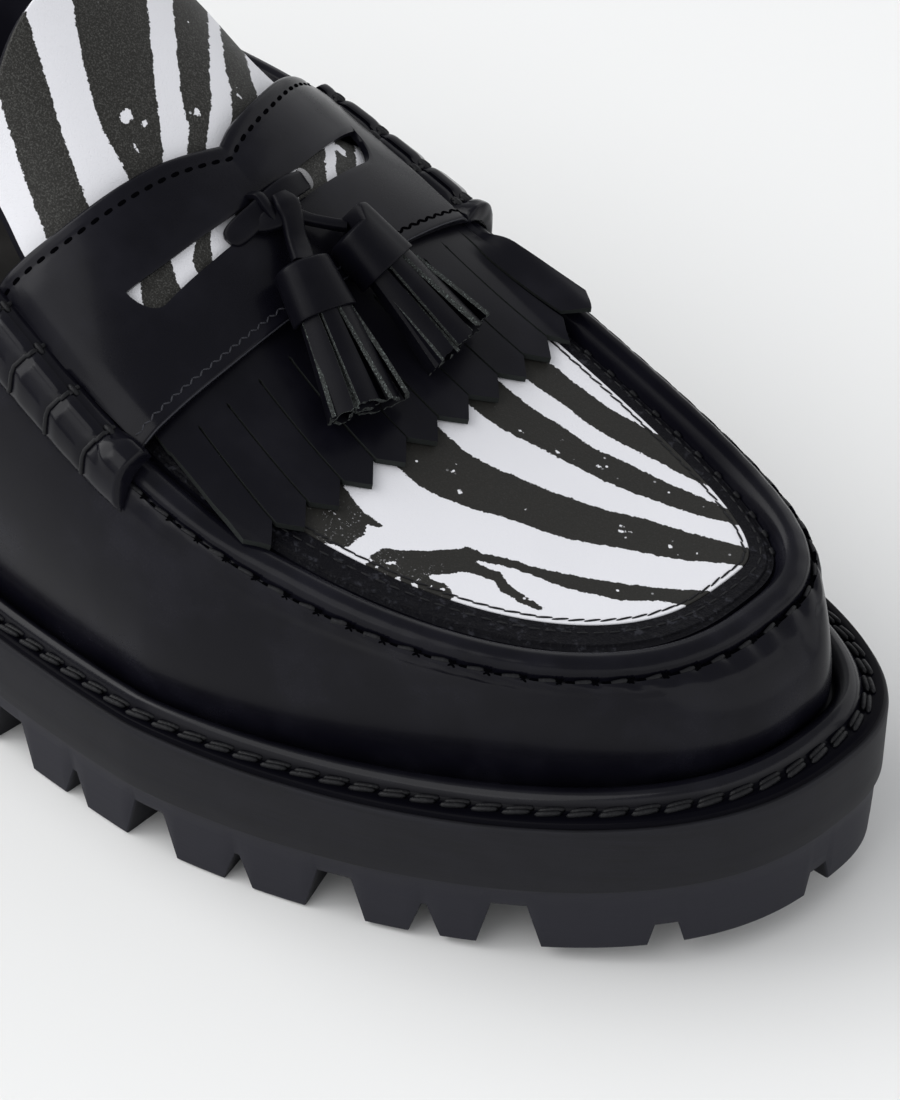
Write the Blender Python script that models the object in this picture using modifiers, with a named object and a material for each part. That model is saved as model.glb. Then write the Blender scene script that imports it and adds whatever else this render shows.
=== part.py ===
"""Chunky tassel loafer, right shoe: lugged rubber sole, welt, hollow moccasin upper, strap, fringe and tassels.

All sizes are in millimetres and become metres when a mesh is made. +X is the toe, +Y the wearer's left
(the inner side of this right shoe), +Z is up. The floor is Z = 0 and the origin is under the middle.
"""

import math

import bmesh
import bpy
import numpy as np

MM = 0.001

# Stations along each half of an outline
HEEL_STEPS, MID_STEPS, TOE_STEPS = 8, 16, 14
HALF = HEEL_STEPS + MID_STEPS + TOE_STEPS

# Plan outlines: places along the length, half widths at ball, waist and seat, toe roundness (power, root)
CENTRE, TOE_SHIFT = 4.0, 8.25
OUTLINES = {
    "rim": dict(toe=148.0, ball=48.0, waist=-40.0, seat=-106.0, back=-148.0,
                lat=(60.4, 52.0, 41.0), med=(52.5, 36.5, 39.0),
                lat_toe=(1.41, 2.64), med_toe=(1.42, 2.26)),
    "top": dict(toe=131.0, ball=48.0, waist=-35.0, seat=-105.0, back=-137.0,
                lat=(48.2, 37.5, 31.5), med=(43.3, 35.5, 31.0),
                lat_toe=(2.17, 2.54), med_toe=(1.38, 2.74)),
}
HEEL_POWER, HEEL_ROOT = 2.0, 2.25

# Sole heights
SOLE_THICK, HEEL_RISE = 27.7, 11.0
HEEL_RISE_FROM, HEEL_RISE_RUN = 20.0, 110.0
SPRING, SPRING_FROM, SPRING_RUN = 6.4, 68.0, 80.0
STEP_DROP = 13.5

# Side of the sole, bottom to top: inset from the rim, height above the base line named
SOLE_SIDE = (
    ("bottom", 1.9, 0.0),
    ("step", 1.0, -0.6),
    ("step", 0.3, 0.0),
    ("top", 0.0, -0.9),
    ("top", 0.7, 0.0),
)

# Arch cut under the waist: length, height
ARCH = ((-1.0, -2.0), (-5.0, 8.0), (-14.0, 11.5), (-30.0, 12.6), (-46.0, 12.2), (-57.0, 9.5), (-61.0, -2.0))

# Notches between the lugs: width at the bottom, width at the top, height
NOTCH_KINDS = {"wide": (11.0, 6.0, 9.0), "vee": (5.6, 0.9, 6.6), "toe": (6.1, 3.8, 4.4)}
# Arc from the middle of the toe lug to each notch of the forefoot
TOE_LUG_ARC = 19.5
FOREFOOT_NOTCHES = (
    (14.2, "toe"), (40.2, "wide"), (54.6, "vee"), (70.4, "wide"),
    (88.4, "vee"), (105.9, "wide"), (123.5, "vee"), (140.0, "wide"),
)
# Arc from the back of the heel to each notch of the heel
HEEL_NOTCHES = ((0.0, "vee"), (17.0, "wide"), (34.0, "vee"), (51.0, "wide"), (68.0, "vee"))
NOTCH_OUT, NOTCH_IN, HEEL_NOTCH_IN = 5.0, 19.0, 14.0

# Tread fields inside the ring of lugs: from, to, height of the field; and the bars that stand in them
FIELDS = ((6.0, 112.0, 7.0), (-132.0, -78.0, 7.0))
FIELD_INSET = 17.0
BARS = ((22.0, 30.0), (46.0, 34.0), (70.0, 32.0), (94.0, 24.0), (-105.0, 26.0))
BAR_LENGTH = 9.0

# Welt across its width: share of the width from the rim, height above the sole
WELT_NARROW, WELT_WIDE, WELT_FROM, WELT_RUN = 7.0, 10.2, 40.0, 70.0
WELT_SECTION = (
    (0.10, 0.35), (0.10, 1.2), (0.42, 1.2), (0.50, 2.6), (0.64, 3.3), (0.79, 2.9), (0.91, 1.6), (0.93, 0.35),
)

# Upper: wall from feather line to top line as shares of rise and of lean
WALL_THICK = 2.2
FEATHER_GAP = 0.35
WALL_PROFILE = ((0.0, 0.0), (0.16, -0.13), (0.36, -0.17), (0.56, -0.05), (0.76, 0.24), (0.90, 0.60), (1.0, 1.0))
TOP_LINE = (
    (131.0, 51.9), (110.0, 53.3), (90.0, 56.0), (70.0, 59.6), (48.0, 64.5), (39.0, 66.8), (22.0, 72.8),
    (5.0, 79.0), (-30.0, 84.0), (-70.0, 86.5), (-110.0, 93.5), (-137.0, 99.0),
)
# Raised roll inside the hand-sewn seam: inset from the seam, height over it
ROLL = ((1.2, 1.8), (2.9, 2.7), (4.8, 1.1))
ROLL_FADE_FROM, ROLL_FADE_RUN = 32.0, 6.0
GROOVE_INSET = 5.4
# Apron and tongue along the middle: length, height; they stay level across for this power
SPINE = (
    (126.0, 52.5), (110.0, 53.6), (95.0, 55.6), (80.0, 58.6), (65.0, 62.0), (50.0, 67.4),
    (39.0, 73.0), (25.0, 83.0), (16.0, 90.3), (0.0, 103.5), (-16.0, 117.5),
)
CROWN_POWER = 2.5
ACROSS = 10
THROAT_STEP = 4
# Free tongue behind the throat: length, half width, share of the full drop of its sides
TONGUE = ((4.0, 33.5, 1.0), (-3.0, 31.0, 0.96), (-10.0, 29.0, 0.86), (-14.5, 25.0, 0.8), (-16.5, 18.0, 0.75))

INSOLE_THICK, INSOLE_INSET = 3.6, 2.9

# Overlays lie on the apron: offsets of their lower and upper faces, and the ramp that carries them over the roll
RAMP, RAMP_FROM, RAMP_RUN = 3.0, 0.86, 0.20
RAMP_START, RAMP_LENGTH = 39.0, 8.0
OVER_Y = 4.8
STRAP_LOW, STRAP_FRONT_LOW, STRAP_HIGH, STRAP_EDGE_DROP = 0.6, 2.8, 4.9, 0.7
STRAP_END_INSET, STRAP_NOMINAL = 5.0, 43.0
# Strap edges: distance from its middle, length of the rear edge; length of the front edge
STRAP_REAR = ((0.0, 13.2), (5.0, 12.2), (10.0, 11.3), (20.0, 9.9), (28.0, 8.0), (35.0, 4.5), (44.0, -0.5))
STRAP_FRONT = ((0.0, 37.2), (20.0, 37.6), (44.0, 38.8))
SLOT_HALF, SLOT_REAR, SLOT_FRONT, SLOT_BOW = 29.0, 21.8, 26.2, 2.6
STRAP_SKEW, SKEW_FRONT = 1.8, 0.7
TUCK = 30.5

# Kiltie fringe under the strap
FRINGE_STRIPS, SLIT = 12, 0.5
# Length, middle and half width of the fringe: it spreads in front of the rolls
FRINGE_SPREAD = ((31.0, 1.6, 39.6), (44.5, 1.6, 39.8), (66.8, 3.0, 43.7))
FRINGE_LOW, FRINGE_HIGH = 0.5, 2.2
FRINGE_ROWS = (31.0, 38.5, 46.0, 53.0, 60.0)
FRINGE_TIP, FRINGE_TIP_DROP, TIP_CHAMFER = 67.2, 3.2, 3.0

# Rolls at the strap ends: length and swell along them, pinched by the thread wraps; thickness across
BEEF_STATIONS = (
    (1.5, 0.9), (5.7, 0.8), (10.2, 1.0), (14.7, 0.8), (19.2, 1.0), (23.7, 0.8), (28.2, 1.0), (32.7, 0.8),
    (35.6, 1.0), (38.2, 0.95),
)
BEEF_GAP = 0.45
BEEF_ROWS = (5, 6, 7, 8)
BEEF_THICK = (0.9, 3.3, 3.4, 0.9)

# Tassels: length and side of the cap's top, its offset; the same for the strip ends
TASSELS = {"lateral": ((32.3, 0.4, 9.6), (57.2, -6.2, 5.7)), "medial": ((31.0, 12.6, 9.6), (57.0, 16.6, 5.9))}
CAP_SHARE = 0.37
# Half widths and half heights of a tassel: share along it, half width, half height
CAP_SECTIONS = ((0.0, 4.3, 3.6), (0.03, 4.9, 4.0), (0.35, 5.6, 4.0), (0.37, 5.2, 3.6))
STRIPS, STRIP_THICK = 6, 1.3
STRIP_SECTIONS = ((0.31, 4.4, 3.0, 3.3), (0.5, 5.4, 3.0, 3.9), (0.75, 6.5, 2.8, 4.6), (1.0, 7.6, 2.5, 5.2))

# Thong: length, side, offset and half width along each piece
THONG_THICK = 1.9
THONGS = (
    ((24.2, -4.6, 2.6, 2.0), (24.2, -1.0, 5.0, 2.0), (24.4, 4.0, 6.6, 2.2), (24.2, 9.0, 6.4, 2.2), (23.6, 13.2, 5.4, 2.0)),
    ((22.6, 5.4, 6.4, 2.6), (25.0, 5.8, 8.0, 3.0), (27.6, 6.2, 7.6, 2.2), (29.6, 3.6, 7.6, 1.6), (31.5, 1.1, 8.6, 1.6)),
    ((26.4, 6.6, 7.6, 2.0), (28.0, 8.8, 7.4, 1.5), (29.6, 11.5, 8.8, 1.6)),
)

BLACK_LEATHER = (0.014, 0.014, 0.016, 1.0)
RUBBER = (0.022, 0.022, 0.025, 1.0)
SOCK_TAN = (0.03, 0.028, 0.026, 1.0)


def through(x, table, flat_ends=False):
    """A smooth curve through the rows of a short table: cubic pieces with slopes from their neighbours."""
    rows = np.array(sorted(table), float)
    xs, ys = rows[:, 0], rows[:, 1]
    steps = np.diff(ys) / np.diff(xs)
    slopes = np.empty_like(ys)
    slopes[1:-1] = (steps[:-1] * np.diff(xs)[1:] + steps[1:] * np.diff(xs)[:-1]) / (xs[2:] - xs[:-2])
    slopes[0], slopes[-1] = (0.0, 0.0) if flat_ends else (steps[0], steps[-1])
    x = np.asarray(x, float)
    i = np.clip(np.searchsorted(xs, x) - 1, 0, len(xs) - 2)
    h = xs[i + 1] - xs[i]
    t = (x - xs[i]) / h
    inside = np.clip(t, 0.0, 1.0)
    a, b = inside * inside * (3 - 2 * inside), inside * (1 - inside)
    y = ys[i] * (1 - a) + ys[i + 1] * a + h * b * (slopes[i] * (1 - inside) - slopes[i + 1] * inside)
    beyond = (t - inside) * h
    return y + beyond * np.where(t > 1, slopes[i + 1], slopes[i])


def rounding(t, power, root):
    """Half width share of a round end: 0 at the tip, 1 where the side begins."""
    return (1 - np.clip(1 - t, 0.0, 1.0) ** power) ** (1 / root)


def half_width(name, side, x):
    """Half width of a plan outline on one side at length x."""
    row = OUTLINES[name]
    ball, waist, seat = row[side]
    x = np.asarray(x, float)
    middle = through(x, ((row["seat"], seat), (row["waist"], waist), (row["ball"], ball)), flat_ends=True)
    toe = ball * rounding((row["toe"] - x) / (row["toe"] - row["ball"]), *row[side + "_toe"])
    heel = seat * rounding((x - row["back"]) / (row["seat"] - row["back"]), HEEL_POWER, HEEL_ROOT)
    return np.where(x > row["ball"], toe, np.where(x < row["seat"], heel, middle))


def centre_line(name, x):
    row = OUTLINES[name]
    return CENTRE + TOE_SHIFT * np.clip((x - row["ball"]) / (row["toe"] - row["ball"]), 0, 1) ** 1.5


def stations(name):
    """Lengths from the back to the toe tip, closer together at the round ends."""
    row = OUTLINES[name]
    turn = 1 - np.cos(np.linspace(0, math.pi / 2, HEEL_STEPS + 1))
    heel = row["back"] + (row["seat"] - row["back"]) * turn
    middle = np.linspace(row["seat"], row["ball"], MID_STEPS + 1)
    turn = 1 - np.cos(np.linspace(math.pi / 2, 0, TOE_STEPS + 1))
    toe = row["toe"] - (row["toe"] - row["ball"]) * turn
    return np.concatenate([heel[:-1], middle[:-1], toe])


def outline(name):
    """Closed plan loop: back, outer side, toe tip, inner side."""
    x = stations(name)
    lateral = np.stack([x, centre_line(name, x) - half_width(name, "lat", x)], 1)
    medial = np.stack([x, centre_line(name, x) + half_width(name, "med", x)], 1)
    return np.concatenate([lateral, medial[-2:0:-1]])


def inset(loop, distance):
    """The loop moved inwards by a distance, one value or one for each point."""
    along = np.roll(loop, -1, 0) - np.roll(loop, 1, 0)
    along /= np.linalg.norm(along, axis=1)[:, None]
    inwards = np.stack([-along[:, 1], along[:, 0]], 1)
    return loop + inwards * np.broadcast_to(distance, (len(loop),))[:, None]


def spring(x):
    return SPRING * np.clip((np.asarray(x, float) - SPRING_FROM) / SPRING_RUN, 0, None) ** 2


def ease(t):
    t = np.clip(t, 0, 1)
    return t * t * (3 - 2 * t)


def sole_top(x):
    return SOLE_THICK + spring(x) + HEEL_RISE * ease((HEEL_RISE_FROM - np.asarray(x, float)) / HEEL_RISE_RUN)


def welt_width(x):
    return WELT_NARROW + (WELT_WIDE - WELT_NARROW) * ease((np.asarray(x, float) - WELT_FROM) / WELT_RUN)


def raised(loop, z):
    return np.column_stack([loop, np.broadcast_to(z, (len(loop),))])


def roll_share(x):
    """The raised roll is full in front of the strap and fades out under it."""
    return 0.12 + 0.88 * ease((np.asarray(x, float) - ROLL_FADE_FROM) / ROLL_FADE_RUN)


def upper_rows():
    """Loops of the upper's outer face from the feather line up to the groove inside the raised roll."""
    rim, top = outline("rim"), outline("top")
    foot = inset(rim, welt_width(rim[:, 0]))
    foot_z = sole_top(foot[:, 0]) + FEATHER_GAP
    top_z = through(top[:, 0], TOP_LINE)
    rows = []
    for rise, lean in WALL_PROFILE:
        rows.append(raised(foot + (top - foot) * lean, foot_z + (top_z - foot_z) * rise))
    share = roll_share(top[:, 0])
    for step, height in ROLL:
        rows.append(raised(inset(top, step), top_z + 0.2 + (height - 0.2) * share))
    rows.append(raised(inset(top, GROOVE_INSET), top_z + 0.2))
    return rows


def across(left, right, crown, count):
    """Points from one edge to the other, raised in the middle by the crown."""
    w = np.linspace(-1, 1, count + 1)[:, None]
    points = left * (1 - w) / 2 + right * (1 + w) / 2
    points[:, 2] += crown * (1 - np.abs(w[:, 0]) ** CROWN_POWER)
    return points


def apron_share(x, y):
    """How far a place is from the middle of the apron: 0 there, 1 at the groove of either side."""
    centre = centre_line("top", x)
    low = centre - half_width("top", "lat", x) + GROOVE_INSET
    high = centre + half_width("top", "med", x) - GROOVE_INSET
    return np.abs((2 * y - low - high) / (high - low))


def apron_drop(x, w):
    """How far the apron falls from its spine at this share of its width."""
    return (through(x, SPINE) - through(x, TOP_LINE) - 0.2) * np.minimum(w, 1.0) ** CROWN_POWER


def cover(x, y):
    """Surface that overlays follow: apron or tongue, with a ramp over the raised roll at each side."""
    x, y = np.broadcast_arrays(np.asarray(x, float), np.asarray(y, float))
    w = apron_share(x, y)
    z = through(x, SPINE) - apron_drop(x, w) + RAMP * ease((x - RAMP_START) / RAMP_LENGTH) * ease((w - RAMP_FROM) / RAMP_RUN)
    return np.stack([x, y, z], -1)


def cover_normal(x, y):
    normal = np.cross(cover(x + 0.5, y) - cover(x - 0.5, y), cover(x, y + 0.5) - cover(x, y - 0.5))
    return normal / np.linalg.norm(normal, axis=-1)[..., None]


def over(x, y, offset):
    """A point over the apron: the height field moved out along its own normal."""
    x, y, offset = np.broadcast_arrays(*(np.asarray(v, float) for v in (x, y, offset)))
    return cover(x, y) + cover_normal(x, y) * offset[..., None]


def material(name, colour, roughness):
    found = bpy.data.materials.get(name)
    if found:
        return found
    made = bpy.data.materials.new(name)
    made.use_nodes = True
    shader = made.node_tree.nodes["Principled BSDF"]
    shader.inputs["Base Color"].default_value = colour
    shader.inputs["Roughness"].default_value = roughness
    return made


def new_object(name, points, faces, where, look=None):
    mesh = bpy.data.meshes.new(name)
    mesh.from_pydata([tuple(p) for p in np.asarray(points, float) * MM], [], faces)
    built = bmesh.new()
    built.from_mesh(mesh)
    bmesh.ops.remove_doubles(built, verts=built.verts, dist=0.002 * MM)
    bmesh.ops.recalc_face_normals(built, faces=built.faces)
    built.to_mesh(mesh)
    built.free()
    made = bpy.data.objects.new(name, mesh)
    where.objects.link(made)
    if look:
        mesh.materials.append(look)
    return made


def helper(name, points, faces, where):
    made = new_object(name, points, faces, where)
    made.hide_render = True
    made.display_type = "WIRE"
    return made


def boolean(target, other, operation):
    step = target.modifiers.new(other.name, "BOOLEAN")
    step.operation = operation
    step.solver = "EXACT"
    step.object = other


def skin(rows, closed=True):
    """Quads between successive rows of points, each row an open line or a closed loop."""
    count = len(rows[0])
    last = count if closed else count - 1
    faces = []
    for r in range(len(rows) - 1):
        for k in range(last):
            n = (k + 1) % count
            faces.append((r * count + k, r * count + n, (r + 1) * count + n, (r + 1) * count + k))
    return faces


def ladder(start, count):
    """Faces that close an outline loop by steps between its outer and inner halves."""
    def at(k):
        return start + k % count

    faces = [(at(0), at(1), at(count - 1))]
    for k in range(1, count // 2 - 1):
        faces.append((at(k), at(k + 1), at(count - k - 1), at(count - k)))
    middle = count // 2
    faces.append((at(middle - 1), at(middle), at(middle + 1)))
    return faces


def block(rows):
    """A closed body from a stack of loops, with both end loops closed by ladders."""
    count = len(rows[0])
    faces = skin(rows)
    faces += [face[::-1] for face in ladder(0, count)]
    faces += ladder((len(rows) - 1) * count, count)
    return np.concatenate(rows), faces


def prism(corners_low, corners_high):
    """A closed body between two polygons with the same number of corners."""
    count = len(corners_low)
    points = np.concatenate([corners_low, corners_high])
    faces = [tuple(range(count))[::-1], tuple(range(count, 2 * count))]
    faces += [(k, (k + 1) % count, count + (k + 1) % count, count + k) for k in range(count)]
    return points, faces


def gather(bodies):
    points, faces, start = [], [], 0
    for body_points, body_faces in bodies:
        points.append(body_points)
        faces += [tuple(start + i for i in face) for face in body_faces]
        start += len(body_points)
    return np.concatenate(points), faces


def along_loop(loop, arc, start):
    """Place, tangent and outward normal at an arc length from a point of the loop, going round its order."""
    turned = np.roll(loop, -start, 0)
    closed = np.concatenate([turned, turned[:1]])
    reach = np.concatenate([[0], np.cumsum(np.linalg.norm(np.diff(closed, axis=0), axis=1))])
    arc = arc % reach[-1]
    here = np.array([np.interp(arc, reach, closed[:, i]) for i in (0, 1)])
    ahead, behind = (arc + 3) % reach[-1], (arc - 3) % reach[-1]
    tangent = np.array([np.interp(ahead, reach, closed[:, i]) - np.interp(behind, reach, closed[:, i]) for i in (0, 1)])
    tangent /= np.linalg.norm(tangent)
    return here, tangent, np.array([tangent[1], -tangent[0]])


def notch(loop, arc, start, kind, depth):
    """Cutter for one notch: a tapered wedge set across the edge of the sole."""
    low, high, height = NOTCH_KINDS[kind]
    here, tangent, out = along_loop(loop, arc, start)
    floor = float(spring(here[0]))
    slope = (low - high) / 2 / height
    ends = []
    for reach in (NOTCH_OUT, -depth):
        place = here + out * reach
        corners = []
        for side, z in ((-1, -4.0), (1, -4.0), (1, height), (-1, height)):
            half = low / 2 - slope * z
            corners.append([*(place + tangent * side * half), floor + z])
        ends.append(np.array(corners))
    return prism(ends[0], ends[1])


def build_outsole(parts, cutters):
    rim = outline("rim")
    rows = []
    for base, step, height in SOLE_SIDE:
        loop = inset(rim, step)
        z = {"bottom": spring(rim[:, 0]), "step": sole_top(rim[:, 0]) - STEP_DROP, "top": sole_top(rim[:, 0])}[base]
        rows.append(raised(loop, z + height))
    sole = new_object("outsole", *block(rows), parts, material("rubber", RUBBER, 0.6))

    low = np.array([[x, -90.0, z] for x, z in ARCH])
    high = np.array([[x, 90.0, z] for x, z in ARCH])
    boolean(sole, helper("arch_cutter", *prism(low, high), cutters), "DIFFERENCE")

    fields = []
    for start, end, height in FIELDS:
        x = np.linspace(start, end, 9)
        lateral = centre_line("rim", x) - half_width("rim", "lat", x) + FIELD_INSET
        medial = centre_line("rim", x) + half_width("rim", "med", x) - FIELD_INSET
        edge = np.concatenate([np.stack([x, lateral], 1), np.stack([x, medial], 1)[::-1]])
        fields.append(prism(raised(edge, -3.0), raised(edge, height)))
    boolean(sole, helper("field_cutter", *gather(fields), cutters), "DIFFERENCE")

    bottom = inset(rim, SOLE_SIDE[0][1])
    wedges = []
    for arc, kind in FOREFOOT_NOTCHES:
        wedges.append(notch(bottom, -TOE_LUG_ARC - arc, HALF, kind, NOTCH_IN))
        wedges.append(notch(bottom, -TOE_LUG_ARC + arc, HALF, kind, NOTCH_IN))
    for arc, kind in HEEL_NOTCHES:
        for side in (-1, 1) if arc else (1,):
            wedges.append(notch(bottom, side * arc, 0, kind, HEEL_NOTCH_IN))
    boolean(sole, helper("notch_cutter", *gather(wedges), cutters), "DIFFERENCE")

    bars = []
    for x, width in BARS:
        y = float(centre_line("rim", x)) - (4.0 if x > 0 else 0.0)
        half, skew = BAR_LENGTH / 2, 5.0
        plan = np.array([[x - half, y - width / 2], [x - half + skew, y], [x - half, y + width / 2],
                         [x + half, y + width / 2], [x + half + skew, y], [x + half, y - width / 2]])
        bars.append(prism(raised(plan, spring(x) + 0.0), raised(plan, 8.5)))
    boolean(sole, helper("tread_bars", *gather(bars), cutters), "UNION")


def ring_faces(rows, count):
    """Quads of a closed section carried round a closed loop."""
    faces = []
    for r in range(rows):
        s = (r + 1) % rows
        for k in range(count):
            n = (k + 1) % count
            faces.append((r * count + k, r * count + n, s * count + n, s * count + k))
    return faces


def build_welt(parts):
    rim = outline("rim")
    width, top = welt_width(rim[:, 0]), sole_top(rim[:, 0])
    rows = [raised(inset(rim, width * share), top + height) for share, height in WELT_SECTION]
    new_object("welt", np.concatenate(rows), ring_faces(len(rows), len(rim)), parts,
               material("welt_leather", BLACK_LEATHER, 0.3))


def build_insole(parts):
    rim = outline("rim")
    edge = inset(rim, welt_width(rim[:, 0]) + INSOLE_INSET)
    z = sole_top(edge[:, 0]) + FEATHER_GAP
    new_object("insole", *block([raised(edge, z), raised(edge, z + INSOLE_THICK)]), parts,
               material("sock_leather", SOCK_TAN, 0.7))


def build_upper(parts):
    rows = upper_rows()
    wall = len(WALL_PROFILE)
    count = len(rows[0])
    throat = HEEL_STEPS + MID_STEPS - THROAT_STEP
    points = [np.concatenate(rows[:wall])]
    faces = skin(rows[:wall])

    # The roll and the groove run round the toe only, from throat to throat
    front = np.arange(throat, count - throat + 1)
    start = wall * count
    lines = [np.array([(wall - 1) * count + k for k in front])]
    for row in rows[wall:]:
        points.append(row[front])
        lines.append(start + np.arange(len(front)))
        start += len(front)
    for near, far in zip(lines, lines[1:]):
        for k in range(len(front) - 1):
            faces.append((near[k], near[k + 1], far[k + 1], far[k]))

    # The apron closes the groove from side to side, then runs on as the tongue
    groove, ids = rows[-1], lines[-1]
    span = len(front) - 1
    rungs = []
    for step in range(span // 2 + 1):
        left, right = groove[front[step]], groove[front[span - step] % count]
        if step == span // 2:
            rungs.append([ids[step]] * (ACROSS + 1))
            continue
        crown = float(through((left[0] + right[0]) / 2, SPINE)) - (left[2] + right[2]) / 2
        rung = across(left, right, crown, ACROSS)[1:-1]
        points.append(rung)
        rungs.append([ids[step], *range(start, start + ACROSS - 1), ids[span - step]])
        start += ACROSS - 1
    tongue = []
    for x, half, share in TONGUE:
        y = CENTRE + half * np.linspace(-1, 1, ACROSS + 1)
        z = through(x, SPINE) - share * apron_drop(x, apron_share(x, y))
        points.append(np.stack([np.full_like(y, x), y, z], 1))
        tongue.append(list(range(start, start + ACROSS + 1)))
        start += ACROSS + 1
    rungs = tongue[::-1] + rungs
    for near, far in zip(rungs, rungs[1:]):
        for k in range(ACROSS):
            face = list(dict.fromkeys((near[k], near[k + 1], far[k + 1], far[k])))
            if len(face) > 2:
                faces.append(tuple(face))
    shell = new_object("upper", np.concatenate(points), faces, parts, material("upper_leather", BLACK_LEATHER, 0.25))
    thick = shell.modifiers.new("leather", "SOLIDIFY")
    thick.thickness = WALL_THICK * MM
    thick.offset = -1
    thick.use_even_offset = True


def sheet_body(top, bottom, kept):
    """Closed body between two grids of points, with side walls round every cell that is left out."""
    rows, columns = top.shape[:2]
    points = np.concatenate([top.reshape(-1, 3), bottom.reshape(-1, 3)])
    under = rows * columns
    padded = np.pad(kept, 1)
    faces = []
    for r in range(rows - 1):
        for c in range(columns - 1):
            if not kept[r, c]:
                continue
            corners = [r * columns + c, r * columns + c + 1, (r + 1) * columns + c + 1, (r + 1) * columns + c]
            faces.append(tuple(corners))
            faces.append(tuple(under + i for i in corners[::-1]))
            beside = ((r, c + 1), (r + 1, c + 2), (r + 2, c + 1), (r + 1, c))
            for k, place in enumerate(beside):
                if not padded[place]:
                    a, b = corners[k], corners[(k + 1) % 4]
                    faces.append((b, a, under + a, under + b))
    used = sorted({i for face in faces for i in face})
    number = {old: new for new, old in enumerate(used)}
    return points[used], [tuple(number[i] for i in face) for face in faces]


def build_strap(parts):
    away = np.concatenate([np.linspace(-STRAP_NOMINAL, -SLOT_HALF, 3)[:-1], np.linspace(-SLOT_HALF, SLOT_HALF, 11),
                           np.linspace(SLOT_HALF, STRAP_NOMINAL, 3)[1:]])
    skew = STRAP_SKEW * away / SLOT_HALF
    bow = SLOT_BOW * (away / SLOT_HALF) ** 2 + skew
    rear = through(np.abs(away), STRAP_REAR) - skew
    front = through(np.abs(away), STRAP_FRONT) - skew * SKEW_FRONT
    lines = [rear, rear + 1.2, (rear + SLOT_REAR - bow) / 2, SLOT_REAR - bow, SLOT_FRONT - bow,
             np.full_like(away, TUCK - 1.2), np.full_like(away, TUCK), front - 1.0, front]
    x = np.array(lines)
    # Past the slot the strap spreads or narrows to end beside the roll on the top line
    outer = CENTRE - OVER_Y + np.where(away < 0, STRAP_END_INSET - half_width("top", "lat", x),
                                       half_width("top", "med", x) - STRAP_END_INSET)
    past = np.clip((np.abs(away) - SLOT_HALF) / (STRAP_NOMINAL - SLOT_HALF), 0, 1)
    held = np.clip(away, -SLOT_HALF, SLOT_HALF)
    y = OVER_Y + held + (outer - held) * past
    upper = np.full(x.shape, STRAP_HIGH)
    upper[[0, -1]] -= STRAP_EDGE_DROP
    lower = np.where(np.arange(len(lines))[:, None] < 6, STRAP_LOW, STRAP_FRONT_LOW) * np.ones(x.shape)
    kept = np.ones((len(lines) - 1, x.shape[1] - 1), bool)
    kept[3, 2:12] = False
    body = sheet_body(over(x, y, upper), over(x, y, lower), kept)
    new_object("saddle_strap", *body, parts, material("strap_leather", BLACK_LEATHER, 0.25))


def fringe_y(x, share):
    """Side place of the fringe at length x and share across, -1 to 1."""
    lengths, middles, halves = zip(*FRINGE_SPREAD)
    return np.interp(x, lengths, middles) + share * np.interp(x, lengths, halves)


def build_fringe(parts):
    pitch = 2.0 / FRINGE_STRIPS
    slit = SLIT / FRINGE_SPREAD[-1][2]
    shares, gaps = [], []
    for strip in range(FRINGE_STRIPS):
        middle, half = -1 + (strip + 0.5) * pitch, (pitch - slit) / 2
        shares += [middle - half, middle, middle + half]
        gaps.append(3 * strip + 2)
    share = np.array(shares)
    corner = np.arange(len(share)) % 3 != 1
    tip = FRINGE_TIP - FRINGE_TIP_DROP * share ** 2
    tip = np.where(corner, tip - TIP_CHAMFER, tip)
    x = np.array([np.full_like(share, row) for row in FRINGE_ROWS] + [tip])
    y = fringe_y(x, share)
    kept = np.ones((len(x) - 1, len(share) - 1), bool)
    kept[2:, gaps[:-1]] = False
    body = sheet_body(over(x, y, FRINGE_HIGH), over(x, y, FRINGE_LOW), kept)
    new_object("kiltie_fringe", *body, parts, material("fringe_leather", BLACK_LEATHER, 0.35))


def build_beef_roll(parts, side):
    """Roll over the top line at one strap end: lobes between the thread wraps, hollowed to the upper's own form."""
    rows = [upper_rows()[r] for r in BEEF_ROWS]
    count = len(rows[0])
    row = OUTLINES["top"]
    x, swell = np.array(BEEF_STATIONS).T
    place = HEEL_STEPS + (x - row["seat"]) / (row["ball"] - row["seat"]) * MID_STEPS

    def at(line, index):
        index = index if side == "lateral" else count - index
        k = np.floor(index).astype(int)
        part = (index - k)[:, None]
        return line[k % count] * (1 - part) + line[(k + 1) % count] * part

    base = np.array([at(line, place) for line in rows])
    along = at(rows[1], place + 0.5) - at(rows[1], place - 0.5)
    aside = np.gradient(base, axis=0)
    normal = np.cross(aside, along) * (-1 if side == "lateral" else 1)
    normal /= np.linalg.norm(normal, axis=-1)[..., None]
    thick = np.array(BEEF_THICK)[:, None] * swell
    inner = base + normal * BEEF_GAP
    outer = base + normal * (BEEF_GAP + thick)[..., None]
    sections = np.concatenate([inner, outer[::-1]])
    loops = [sections[:, k] for k in range(len(x))]
    around = len(sections)
    faces = skin(loops) + [tuple(range(around))[::-1], tuple((len(loops) - 1) * around + k for k in range(around))]
    new_object("beef_roll_" + side, np.concatenate(loops), faces, parts, material("roll_leather", BLACK_LEATHER, 0.3))


def swept(frames, half_widths, half_heights, ring):
    """Closed body from a ring of (side, up) shares carried along frames of place, side and up."""
    loops = []
    for (place, side, up), wide, high in zip(frames, half_widths, half_heights):
        loops.append(np.array([place + side * (a * wide) + up * (b * high) for a, b in ring]))
    count = len(ring)
    faces = skin(loops) + [tuple(range(count))[::-1], tuple((len(loops) - 1) * count + k for k in range(count))]
    return np.concatenate(loops), faces


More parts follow.
